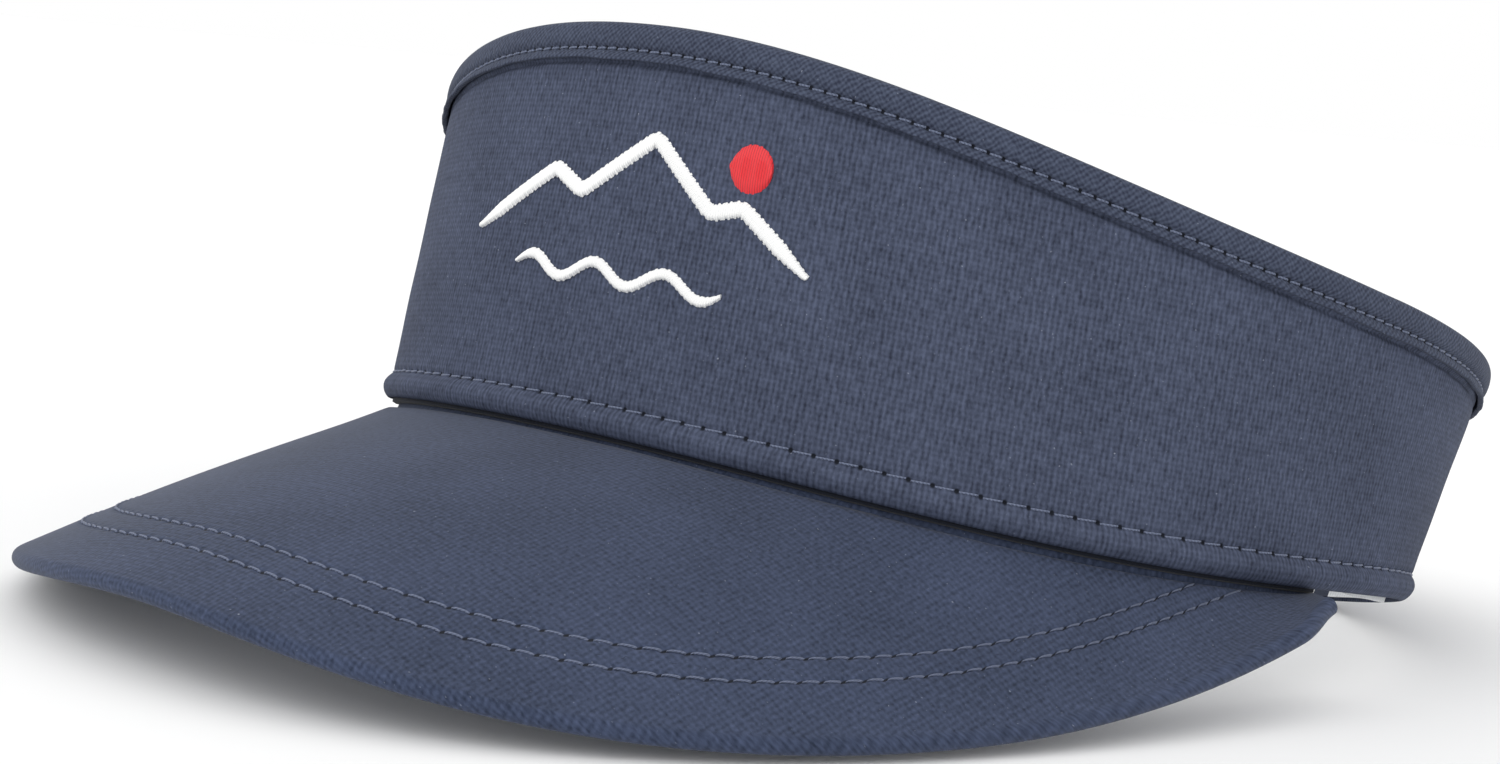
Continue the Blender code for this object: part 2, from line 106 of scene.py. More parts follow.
# Back straps, mm and degrees.
STRAP_ROOT = 151.6
STRAP_RAMP = 12.0
STRAP_UP = (5.0, 31.0)
STRAP_MIDDLE = sum(STRAP_UP) / 2
SLOT_UP = (4.3, 4.7, 31.3, 31.7)
STRAP_THICK = 0.9
STRAP_HIDDEN_FROM = 141.0
STRAP_END_ROUND = 9.0
STRAP_STITCH_FROM = 155.0
STRAP_STITCH_IN = 2.0
STRAP_STITCH_TURN = 24.0
PATCH_UP = (9.0, 27.0)
PATCH_THICK = 0.5
GAP = 0.3
HOOK_STRAP_END = 205.0
LOOP_STRAP_END = 195.0
MIDDLE_OUT = -1.0
HOOK_OVERLAP_OUT = 0.5
LOOP_OVERLAP_OUT = HOOK_OVERLAP_OUT - STRAP_THICK - 2 * PATCH_THICK - 3 * GAP
ROOT_STITCH_ANGLES = (142.0, 148.5)
HOOK_PATCH_ANGLES = (169.4, 202.0)
LOOP_PATCH_ANGLES = (163.7, 192.5)

# Stitch lengths, mm, and how thick the thread is.
HEM_PITCH = 3.9
BRIM_PITCH = 3.5
BINDING_PITCH = 2.6
STRAP_PITCH = 2.8
THREAD_RADIUS = 0.19

# Mesh steps along a piece, mm, and a place in the UV map "seam" that no stitch row reaches.
FINE_STEP = 0.5
BRIM_STEP = 0.6
WIDE_STEP = 1.5
NO_ROW = 9.0

# Standing place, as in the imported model.
REST_TILT = math.radians(6.7)
CENTRE_Y = 36.0
FLOOR_Z = 29.1


# ---------------------------------------------------------------- places


def signed_power(value, power):
    """The size of a value raised to a power, with the value's sign."""
    return np.sign(value) * np.abs(value) ** power


def smooth(value, start, end):
    """0 before start, 1 after end, and 3k^2 - 2k^3 between them."""
    k = np.clip((np.asarray(value, float) - start) / (end - start), 0, 1)
    return k * k * (3 - 2 * k)


def bell(value, width):
    """1 at 0, falling as exp(-(value / width)^2)."""
    return np.exp(-((value / width) ** 2))


def cosines(series, angle):
    """The sum of the series' terms times cosines of 0, 1, 2, 3 times the angle."""
    a = np.radians(np.asarray(angle, float))
    return sum(c * np.cos(k * a) for k, c in enumerate(series))


def unit(v):
    """Vectors divided by their lengths."""
    return v / np.linalg.norm(v, axis=-1, keepdims=True)


def ripple(along, waves, seed):
    """An uneven wave in -1 to 1: the mean of sines of these wavelengths, with phases from seed."""
    phases = [seed * 2.399 + 1.7 * k * k for k in range(len(waves))]
    return sum(np.sin(2 * math.pi * along / w + p) for w, p in zip(waves, phases)) / len(waves)


def stand(x, y, z):
    """Wearer's millimetres turned front-up by the rest tilt and moved onto the floor, in metres."""
    c, s = math.cos(REST_TILT), math.sin(REST_TILT)
    placed = (x, y * c + z * s + CENTRE_Y, z * c - y * s + FLOOR_Z)
    return np.stack(np.broadcast_arrays(*placed), axis=-1) * MM


def ring(angle, inset=0.0):
    """Plan of the crown's lower edge: x = a sin^p and y = -b cos^p, moved in along its normal by inset."""
    a = np.radians(np.asarray(angle, float))
    half = np.where(np.cos(a) > 0, RING_FRONT, RING_REAR)
    x = RING_HALF_WIDTH * signed_power(np.sin(a), RING_POWER)
    y = -half * signed_power(np.cos(a), RING_POWER)
    nx, ny = x / RING_HALF_WIDTH**2, y / half**2
    n = np.hypot(nx, ny)
    nx, ny = nx / n, ny / n
    return x - nx * inset, y - ny * inset, nx, ny


def crown(angle, up, out):
    """The lower edge's plan moved out by lean times up plus out, at the lower edge's height plus up."""
    x, y, nx, ny = ring(angle)
    reach = cosines(BAND_LEAN, angle) * up + out
    return stand(x + nx * reach, y + ny * reach, cosines(LOW_EDGE, angle) + up)


def crown_height(angle):
    """The top edge's height above the lower edge: a series in cosines."""
    return cosines(BAND_HEIGHT, angle)


def length_table(values, x, y, z=0.0):
    """Values and the length of the path up to each of them, counted from the middle value."""
    x, y, z = np.broadcast_arrays(x, y, z)
    steps = np.sqrt(np.diff(x) ** 2 + np.diff(y) ** 2 + np.diff(z) ** 2)
    length = np.r_[0, np.cumsum(steps)]
    return values, length - length[len(length) // 2]


ALL_ANGLES = np.linspace(-215, 215, 8601)
RING_TABLE = length_table(ALL_ANGLES, *ring(ALL_ANGLES)[:2])


def ring_length(angle):
    """Millimetres along the crown's lower edge from the middle of the front to an angle."""
    return np.interp(angle, *RING_TABLE)


def ring_angle(length):
    """The angle at a length along the lower edge: ring_length the other way."""
    return np.interp(length, RING_TABLE[1], RING_TABLE[0])


def ring_steps(start, end, step):
    """Angles from start to end, evenly spaced round the lower edge, about step mm apart."""
    low, high = ring_length(start), ring_length(end)
    return ring_angle(np.linspace(low, high, 1 + math.ceil(abs(high - low) / step)))


def outline(turn, inset=0.0, corner_in=0.0):
    """The brim's edge in plan: x = a sin^p and y = y0 - b cos^q, less inset, rounded in at its ends."""
    a = np.radians(turn)
    rounding = corner_in * smooth(np.abs(turn), BRIM_END - BRIM_CORNER_ROUND, BRIM_END)
    x = (BRIM_HALF_WIDTH - inset - rounding) * signed_power(np.sin(a), BRIM_POWER_X)
    y = BRIM_CENTRE_Y - (BRIM_LENGTH - inset) * np.abs(np.cos(a)) ** BRIM_POWER_Y
    return x, y


def brim_height(x, y):
    """A cubic drop to the front, and an arch of x^2 and x^4 from side to side."""
    f = (-RING_FRONT - y) / BRIM_DROP_LENGTH
    across = (x / BRIM_ARCH_WIDTH) ** 2
    arch = (BRIM_ARCH[0] + BRIM_ARCH[1] * f) * across
    arch = arch + (BRIM_ARCH_FLATTENING[0] + BRIM_ARCH_FLATTENING[1] * f) * across**2
    return -arch - BRIM_DROP[0] * f - BRIM_DROP[1] * f * np.abs(f) - BRIM_DROP[2] * f**3


def brim_face(turn, span):
    """The upper face: straight in plan from crown to outline, arched in height, and flat at the corners."""
    x0, y0, _, _ = ring(turn, BRIM_TUCK)
    x1, y1 = outline(turn, LIP_RADIUS, BRIM_CORNER_IN)
    x, y = x0 + (x1 - x0) * span, y0 + (y1 - y0) * span
    start, end = cosines(LOW_EDGE, turn) - BRIM_SEAT, brim_height(*outline(turn, LIP_RADIUS))
    arched = brim_height(x, y) + (start - brim_height(x0, y0)) * (1 - span) ** 2
    straight = start + (end - start) * span
    z = arched + (straight - arched) * smooth(np.abs(turn), *BRIM_CORNER_TURNS)
    return np.stack(np.broadcast_arrays(x, y, z), axis=-1)


def brim_normal(turn, span):
    """Upward normal and outward edge direction of the upper face, by small differences."""
    t, s = 0.05, 0.002
    low, high = np.maximum(turn - t, -BRIM_END), np.minimum(turn + t, BRIM_END)
    along = brim_face(high, span) - brim_face(low, span)
    outward = brim_face(turn, span + s) - brim_face(turn, span - s)
    normal = unit(np.cross(outward, along))
    return normal, unit(np.cross(along, normal))


def brim(turn, span, lift, outward=0.0):
    """The upper face moved by lift along its normal and by outward in its own plane."""
    args = (turn, span, lift, outward)
    turn, span, lift, outward = np.broadcast_arrays(*(np.asarray(v, float) for v in args))
    normal, edge = brim_normal(turn, span)
    p = brim_face(turn, span) + normal * lift[..., None] + edge * outward[..., None]
    return stand(p[..., 0], p[..., 1], p[..., 2])


def brim_reach(turn):
    """How wide the upper face is at a turn, measured square to the outline."""
    ruling = brim_face(turn, 1.0) - brim_face(turn, 0.0)
    _, edge = brim_normal(turn, 1.0)
    return np.abs(np.sum(ruling * edge, axis=-1))


def ruling(turn):
    """Length in mm of the straight line across the upper face at a turn."""
    return np.linalg.norm(brim_face(turn, 1.0) - brim_face(turn, 0.0), axis=-1)


def inset_span(turn, inset):
    """Span of the line inset mm inside the outline at the front, which drifts in towards the corners."""
    inset = inset + ROW_DRIFT * smooth(np.abs(turn), *ROW_DRIFT_TURNS)
    return 1 - (inset - LIP_RADIUS) / brim_reach(turn)


ALL_TURNS = np.linspace(-BRIM_END, BRIM_END, 3001)
EDGE_TABLE = length_table(ALL_TURNS, *brim_face(ALL_TURNS, 1.0).T)
ROW_SPANS = np.maximum(inset_span(ALL_TURNS, ROW_MIDDLE), 0)
ROW_TABLE = length_table(ALL_TURNS, *brim_face(ALL_TURNS, ROW_SPANS).T)


def brim_turns(step):
    """Turns from corner to corner, evenly spaced along the outline, about step mm apart."""
    low, high = EDGE_TABLE[1][[0, -1]]
    lengths = np.linspace(low, high, 1 + math.ceil((high - low) / step))
    return np.interp(lengths, EDGE_TABLE[1], EDGE_TABLE[0])


def curve(points, count):
    """A smooth line through the points: a Catmull-Rom spline, read at count even steps of its parameter."""
    p = np.asarray(points, float)
    p = np.r_[[2 * p[0] - p[1]], p, [2 * p[-1] - p[-2]]]
    t = np.linspace(0, len(p) - 3, count)
    k = np.minimum(t.astype(int), len(p) - 4)
    f = (t - k)[:, None]
    a, b, c, d = (p[k + n] for n in range(4))
    return 0.5 * (2 * b + (c - a) * f + (2 * a - 5 * b + 4 * c - d) * f**2 + (3 * b - a - 3 * c + d) * f**3)


# ---------------------------------------------------------------- meshes


def skin(name, points, material, body, replaced=(), cloth=None, seam=None):
    """The skin of one or more closed outlines, each carried along a path, with a flat cap at both ends.

    points[..., i, j] is point j of the outline at step i. The patterns cloth and seam have one point more in
    each outline, so that they don't run backwards where it closes. Faces turn round if the volume is negative.
    """
    steps, count = points.shape[-3:-1]
    points = points.reshape(-1, steps, count, 3)
    i, j = np.meshgrid(np.arange(steps - 1), np.arange(count), indexing="ij")
    corners = ((i, j), (i, j + 1), (i + 1, j + 1), (i + 1, j))

    def faces_of(width):
        sides = np.stack([a * width + b % width for a, b in corners], -1).reshape(-1, 4)
        ends = np.stack([np.arange(count)[::-1], (steps - 1) * width + np.arange(count)])
        first = np.arange(len(points))[:, None, None] * steps * width
        return [(sides + first).reshape(-1, 4), (ends + first).reshape(-1, count)]

    faces, pattern_faces = faces_of(count), faces_of(count + 1)
    flat = points.reshape(-1, 3)
    a, b, c, d = (flat[faces[0][:, k]] for k in range(4))
    volume = np.sum(np.cross(b - a, c - a) * a + np.cross(c - a, d - a) * a)
    way = 1 if volume > 0 else -1
    corner = np.concatenate([f[:, ::way].ravel() for f in faces])
    pattern_corner = np.concatenate([f[:, ::way].ravel() for f in pattern_faces])
    sizes = np.concatenate([np.full(len(f), f.shape[1]) for f in faces])

    mesh = bpy.data.meshes.new(name)
    mesh.vertices.add(len(flat))
    mesh.vertices.foreach_set("co", flat.ravel())
    mesh.loops.add(len(corner))
    mesh.loops.foreach_set("vertex_index", corner.astype(np.int32))
    mesh.polygons.add(len(sizes))
    mesh.polygons.foreach_set("loop_start", np.r_[0, np.cumsum(sizes)[:-1]].astype(np.int32))
    mesh.update(calc_edges=True)
    for label, pattern in (("cloth", cloth), ("seam", seam)):
        if pattern is not None:
            layer = mesh.uv_layers.new(name=label)
            layer.uv.foreach_set("vector", pattern.reshape(-1, 2)[pattern_corner].ravel())
    mesh.shade_smooth()
    mesh.set_sharp_from_angle(angle=math.radians(55))
    mesh.materials.append(material)
    made = bpy.data.objects.new(name, mesh)
    bpy.context.scene.collection.objects.link(made)
    if body:
        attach(made, body)
    if replaced:
        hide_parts(*replaced)
    return made


def close(values):
    """Repeats the first column after the last, for the place where an outline meets itself."""
    return np.concatenate([values, values[:, :1]], axis=1)


def along_outline(points):
    """Centimetres along each closed outline from its first point, with the closing step included."""
    step = np.linalg.norm(np.diff(close(points), axis=1), axis=-1)
    return np.concatenate([np.zeros((len(points), 1)), np.cumsum(step, axis=1)], axis=1) * 100


def crown_skin(
    name, angles, up, out, material, body, replaced=(), row=None, pitch=HEM_PITCH, upright=True
):
    """A strip of the crown from arrays of up and out for each angle and outline point.

    The cloth pattern runs round the head and either up it or along the outline. row is a stitch row's up.
    """
    angles = np.asarray(angles, float)[:, None]
    up, out = np.broadcast_arrays(np.asarray(up, float), np.asarray(out, float), np.zeros(angles.shape))[:2]
    points = crown(angles, up, out)
    round_head = np.broadcast_to(ring_length(angles), up.shape)
    height = close(up) / 10 if upright else along_outline(points)
    cloth = np.stack([close(round_head) / 10, height], axis=-1)
    seam = None
    if row is not None:
        seam = np.stack([close(round_head) / pitch, close(up - row)], axis=-1)
    return skin(name, points, material, body, replaced, cloth, seam)


def stitches(name, place, first, last, pitch, material, body, replaced):
    """A row of separate stitches, each from one needle hole to the next. place(along, side, lift) is a point.

    Each is a round thread that rises as 1 - q^4 from its needle holes, q from -1 to 1, thins to its ends and
    lies slightly aslant, as a lockstitch does.
    """
    radius = THREAD_RADIUS
    number = np.arange(math.ceil(first / pitch), math.floor(last / pitch))[:, None, None]
    q = np.linspace(-0.8, 0.8, 7)[None, :, None]
    around = np.linspace(0, 2 * math.pi, 7)[None, None, :-1]
    size = radius * (1 - 0.55 * q**6)
    lift = radius * (1.1 - 3.0 * q**4) + size * np.cos(around)
    side = 0.1 * q + size * np.sin(around) + 0.04 * np.sin(number * 2.4)
    points = place((number + 0.5 + q / 2) * pitch, side, lift)
    shape = points.shape[:3]
    thread = np.stack(np.broadcast_arrays((number + q / 2) * pitch / 10, np.linspace(0, 1, 7)), axis=-1)
    thread = np.broadcast_to(thread, (shape[0], shape[1], 7, 2))
    return skin(name, points, material, body, replaced, cloth=thread)


# ---------------------------------------------------------------- materials


def srgb(hex_colour):
    """Linear RGBA of an sRGB hex colour."""
    parts = [int(hex_colour[i : i + 2], 16) / 255 for i in (1, 3, 5)]
    return [c / 12.92 if c <= 0.04045 else ((c + 0.055) / 1.055) ** 2.4 for c in parts] + [1.0]


def add(tree, kind, inputs=None, **settings):
    """Adds a node with its settings. An input is a value, an output to link, or a node to link from."""
    node = tree.nodes.new(kind)
    for key, value in settings.items():
        setattr(node, key, value)
    for key, value in (inputs or {}).items():
        if isinstance(value, bpy.types.Node):
            value = value.outputs[0]
        if isinstance(value, bpy.types.NodeSocket):
            tree.links.new(value, node.inputs[key])
        else:
            node.inputs[key].default_value = value
    return node


def surface(name, roughness, **sockets):
    """A material, its tree and its shader, with the values that are the same all over set on the shader."""
    made = bpy.data.materials.new(name)
    made.use_nodes = True
    tree = made.node_tree
    shader = tree.nodes["Principled BSDF"]
    shader.inputs["Roughness"].default_value = roughness
    for key, value in sockets.items():
        shader.inputs[key.replace("_", " ")].default_value = value
    return made, tree, shader


def woven(
    name, dark, light, rib, turn=0.0, relief=0.05, ribbed=(0.1, 0.1), stitch=None, roughness=0.85, sheen=0.03
):
    """Woven cloth from the UV map "cloth": yarns as sine waves both ways that wander, under broken slubs.

    rib is the width and length in mm of one slub; the yarns are one slub width apart. turn is the angle of
    the cut to the grain in degrees, ribbed the share of the even warp and weft in the relief, relief its depth
    in mm. stitch is the stitch length in mm where the cloth has needle holes at a stitch's ends, each painted
    near-black as painted shade inside the hole.
    """
    sockets = {"Specular_IOR_Level": 0.2, "Sheen_Weight": sheen, "Sheen_Roughness": 0.5}
    made, tree, shader = surface(name, roughness, **sockets)
    uv = add(tree, "ShaderNodeUVMap", uv_map="cloth")
    turned = add(tree, "ShaderNodeMapping", {"Vector": uv, "Rotation": (0, 0, math.radians(turn))})
    place = add(tree, "ShaderNodeSeparateXYZ", {0: turned})
    # The yarns wander from side to side about every 1.1 mm.
    wander = add(tree, "ShaderNodeTexNoise", {"Vector": turned, "Scale": 9.0, "Detail": 2.0})
    shift = add(tree, "ShaderNodeMath", {0: wander, 1: 5.0}, operation="MULTIPLY")
    drawn = add(tree, "ShaderNodeMapping", {"Vector": turned, "Scale": (10 / rib[0], 10 / rib[1], 1)})
    height = add(tree, "ShaderNodeTexNoise", {"Vector": drawn, "Scale": 1.1, "Detail": 3.0, "Roughness": 0.6})
    for axis, share in zip("XY", ribbed):
        turns = {0: place.outputs[axis], 1: 20 * math.pi / rib[0], 2: shift}
        phase = add(tree, "ShaderNodeMath", turns, operation="MULTIPLY_ADD")
        wave = add(tree, "ShaderNodeMath", {0: phase}, operation="SINE")
        height = add(tree, "ShaderNodeMath", {0: wave, 1: share, 2: height}, operation="MULTIPLY_ADD")
    # The colour follows the relief, with uneven dyeing about 20 mm across and pale lint about 0.6 mm across.
    broad = add(tree, "ShaderNodeTexNoise", {"Vector": uv, "Scale": 0.5, "Detail": 2.0})
    tone = add(tree, "ShaderNodeMath", {0: broad, 1: 0.35, 2: height}, operation="MULTIPLY_ADD")
    weight = add(tree, "ShaderNodeMapRange", {0: tone, 1: 0.3, 2: 1.05})
    dyed = add(tree, "ShaderNodeMix", {0: weight, 6: srgb(dark), 7: srgb(light)}, data_type="RGBA").outputs[2]
    lint = add(tree, "ShaderNodeTexNoise", {"Vector": uv, "Scale": 16.0, "Detail": 1.0})
    caught = add(tree, "ShaderNodeMapRange", {0: lint, 1: 0.74, 2: 0.82, 3: 0.0, 4: 0.45})
    shown = add(tree, "ShaderNodeMix", {0: caught, 6: dyed, 7: srgb("#A9B0BF")}, data_type="RGBA").outputs[2]
    if stitch:
        # Painted shade: a near-black disc of about 0.28 mm radius, fading out by 0.55 mm, at each needle hole,
        # for the shade inside it.
        row = add(tree, "ShaderNodeSeparateXYZ", {0: add(tree, "ShaderNodeUVMap", uv_map="seam")})
        whole = add(tree, "ShaderNodeMath", {0: row.outputs["X"]}, operation="ROUND")
        past = add(tree, "ShaderNodeMath", {0: row.outputs["X"], 1: whole}, operation="SUBTRACT")
        apart = add(tree, "ShaderNodeMath", {0: past, 1: stitch}, operation="MULTIPLY")
        beside = add(tree, "ShaderNodeCombineXYZ", {"X": apart, "Y": row.outputs["Y"]})
        away = add(tree, "ShaderNodeVectorMath", {0: beside}, operation="LENGTH").outputs["Value"]
        hole = add(tree, "ShaderNodeMapRange", {0: away, 1: 0.28, 2: 0.55, 3: 0.95, 4: 0.0})
        hole_shade_mix = {0: hole, 6: shown, 7: srgb("#12151D")}
        shown = add(tree, "ShaderNodeMix", hole_shade_mix, data_type="RGBA").outputs[2]
    tree.links.new(shown, shader.inputs["Base Color"])
    bump = add(tree, "ShaderNodeBump", {"Height": height, "Distance": relief * MM, "Strength": 1.0})
    tree.links.new(bump.outputs[0], shader.inputs["Normal"])
    return made


def twisted(name, colour, roughness=0.55, sheen=0.1):
    """Spun thread from the UV map "cloth": plies that wind round it as a sine of length plus turn."""
    made, tree, shader = surface(name, roughness, Sheen_Weight=sheen, Specular_IOR_Level=0.35)
    place = add(tree, "ShaderNodeSeparateXYZ", {0: add(tree, "ShaderNodeUVMap", uv_map="cloth")})
    length = add(tree, "ShaderNodeMath", {0: place.outputs["X"], 1: 100.0}, operation="MULTIPLY")
    turns = {0: place.outputs["Y"], 1: 4 * math.pi, 2: length}
    wind = add(tree, "ShaderNodeMath", turns, operation="MULTIPLY_ADD")
    ply = add(tree, "ShaderNodeMath", {0: wind}, operation="SINE")
    weight = add(tree, "ShaderNodeMapRange", {0: ply, 1: -1.0, 2: 1.0, 3: 0.0, 4: 0.35})
    mixed = add(tree, "ShaderNodeMix", {0: weight, 6: srgb(colour), 7: srgb("#2E3344")}, data_type="RGBA")
    tree.links.new(mixed.outputs[2], shader.inputs["Base Color"])
    bump = add(tree, "ShaderNodeBump", {"Height": ply, "Distance": 0.03 * MM, "Strength": 1.0})
    tree.links.new(bump.outputs[0], shader.inputs["Normal"])
    return made


def grained(name, dark, light, grain, relief, roughness=0.9, **sockets):
    """A surface with an even grain in Object coordinates: noise of about grain mm, in colour and relief."""
    made, tree, shader = surface(name, roughness, **sockets)
    where = add(tree, "ShaderNodeTexCoord").outputs["Object"]
    noise = add(tree, "ShaderNodeTexNoise", {"Vector": where, "Scale": 1 / (grain * MM), "Detail": 4.0})
    weight = add(tree, "ShaderNodeMapRange", {0: noise, 1: 0.3, 2: 0.7})
    colour = add(tree, "ShaderNodeMix", {0: weight, 6: srgb(dark), 7: srgb(light)}, data_type="RGBA")
    tree.links.new(colour.outputs[2], shader.inputs["Base Color"])
    bump = add(tree, "ShaderNodeBump", {"Height": noise, "Distance": relief * MM, "Strength": 1.0})
    tree.links.new(bump.outputs[0], shader.inputs["Normal"])
    return made


def satin(name, light, dark):
    """Satin-stitched rayon thread: bright, with a soft sheen, and painted shade between the threads, 0.45 mm
    apart.
    """
    made, tree, shader = surface(name, 0.42, Sheen_Weight=0.15, Specular_IOR_Level=0.45)
    place = add(tree, "ShaderNodeSeparateXYZ", {0: add(tree, "ShaderNodeUVMap", uv_map="cloth")})
    per_cm = 20 * math.pi / SATIN_THREAD
    turns = add(tree, "ShaderNodeMath", {0: place.outputs["X"], 1: per_cm}, operation="MULTIPLY")
    thread = add(tree, "ShaderNodeMath", {0: turns}, operation="SINE")
    weight = add(tree, "ShaderNodeMapRange", {0: thread, 1: -1.0, 2: 0.0, 3: 1.0, 4: 0.0})
    # Painted shade: the colour turns to the darker one over half of each thread's period, in the gaps between
    # the threads.
    colour = add(tree, "ShaderNodeMix", {0: weight, 6: srgb(light), 7: srgb(dark)}, data_type="RGBA")
    tree.links.new(colour.outputs[2], shader.inputs["Base Color"])
    return made


def make_materials():
    """Every material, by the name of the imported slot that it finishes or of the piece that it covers."""
    return {
        # Polyester crepe, piece-dyed slate blue: matt, with fine broken ribs up the crown. Its real yarns are
        # 0.3 mm apart, too fine to show, so the ribs are drawn 0.95 mm apart.
        "band": woven("polyester_crepe_band", "#262B3A", "#535B71", (0.95, 2.2), relief=0.12,
                      ribbed=(0.12, 0.06), stitch=HEM_PITCH, sheen=0.0),
        # The same crepe pulled smooth over the brim board: less rib and more grain.
        # Its colours are darker than the band's though the cloth is the same: painted shade, which holds its
        # up-facing face down under the light from above.
        "brim": woven("polyester_crepe_brim_painted_shade", "#1D2638", "#454F69", (0.95, 1.1), relief=0.08,
                      ribbed=(0.08, 0.08), stitch=BRIM_PITCH, sheen=0.09),
        # The same crepe cut on the bias for the binding, so its ribs run at 45 degrees.
        "binding": woven("polyester_crepe_bias", "#292E3F", "#4A5265", (0.8, 1.6), turn=45, relief=0.12,
                         ribbed=(0.2, 0.12), stitch=BINDING_PITCH),
        # The same crepe doubled and pressed flat for the straps.
        "strap": woven("polyester_crepe_strap", "#2B3040", "#4D5569", (0.95, 2.4), relief=0.10,
                       ribbed=(0.13, 0.06), stitch=STRAP_PITCH),
        # Thin polyester lining: smooth, dark and slightly shiny.
        "lining": woven("polyester_lining", "#272C3A", "#363D4F", (0.6, 0.9), relief=0.03, roughness=0.6),
        # Brushed wicking knit: soft, pale grey, with a short nap.
        "sweatband": woven("wicking_knit", "#BEC1C5", "#E6E8EA", (1.1, 1.4), relief=0.16, stitch=STRAP_PITCH,
                           roughness=0.95, sheen=0.2),
        # Spun polyester sewing thread, a shade paler than the cloth, with a faint twist.
        "thread": twisted("spun_polyester_thread", "#69728A"),
        # Woven satin tape: smooth, off-white and slightly shiny.
        "label": woven("woven_satin_label", "#E6E6E2", "#F6F6F2", (0.6, 0.6), relief=0.01, roughness=0.45),
        # Moulded nylon hooks, about 1.1 mm apart, and brushed nylon loops with a soft nap.
        "hook_tape": grained("moulded_nylon_hooks", "#1F2430", "#434A5C", 1.1, 0.5, roughness=0.5),
        "loop_tape": grained("brushed_nylon_loops", "#2A3040", "#4A5165", 0.5, 0.5, roughness=0.95,
                             Sheen_Weight=0.4),
        # Open-cell foam, cotton buckram and a polyethylene board: pale, plain and out of sight.
        "foam": grained("open_cell_foam", "#D8D8D2", "#F4F4F0", 0.6, 0.2),
        "stiffener": woven("cotton_buckram", "#C9C7BC", "#F0EEE4", (1.2, 1.2), relief=0.1, ribbed=(0.4, 0.4)),
        "board": grained("polyethylene_sheet", "#E8E8E4", "#F4F4F0", 3.0, 0.02, roughness=0.4),
        # Rayon embroidery thread: lustrous, laid side by side.
        # The second colour of each is painted shade between the threads.
        "thread_white": satin("rayon_white", "#F7F7F5", "#D9DADC"),
        "thread_red": satin("rayon_red", "#E0222C", "#A81620"),
    }


# ---------------------------------------------------------------- crown


# The hem's profile down from its stitch row, (out, up) in mm: it bulges, turns under and runs in.
HEM_LINE = (
    (0.0, 5.2), (0.62, 4.4), (1.15, 3.4), (1.22, 2.4), (0.85, 1.3), (0.2, 0.5), (-0.45, 0.25), (-0.7, 0.8),
)
HEM_POINTS = 24
# The binding's profile, (out, up from the top edge) in mm: a flange, a groove, over the top and down.
BINDING_LINE = (
    (0.35, -4.9), (0.5, -5.45), (1.2, -5.55), (1.45, -5.35), (1.3, -4.7), (0.7, -3.7), (1.1, -2.9),
    (1.3, -1.8), (1.2, -0.6), (0.9, 0.25), (0.2, 0.85), (-1.35, 1.1), (-3.0, 0.85), (-3.7, 0.25),
    (-4.0, -0.8), (-4.0, -2.1), (-3.75, -3.0), (-3.5, -3.7), (-3.65, -4.5), (-3.8, -5.1), (-3.6, -5.5),
    (-3.25, -5.55), (-3.05, -5.1),
)
BINDING_POINTS = 66
# How the binding runs round the edges that it holds: up inside, across and down again.
BINDING_INSIDE = np.array([(-2.95, -1.0), (-2.75, 0.42), (0.15, 0.42), (0.35, -1.0)])


def row_dent(along, aside, depth, width=0.55, seed=0.0):
    """How far a stitch row pulls the cloth in: a groove, deepest at the needle holes, of uneven tension."""
    pull = 0.62 + 0.38 * np.cos(2 * math.pi * along)
    return depth * bell(aside, width) * pull * (1 + 0.25 * ripple(along, (5.3, 8.7, 3.1), seed))


def row_puff(along, aside, height, reach, seed=0.0):
    """The cloth that swells between needle holes, fading over reach mm from the row."""
    swell = 0.5 - 0.5 * np.cos(2 * math.pi * along) + 0.8 * ripple(along, (4.1, 6.7, 9.9), seed)
    return height * swell * np.exp(-np.abs(aside) / reach)


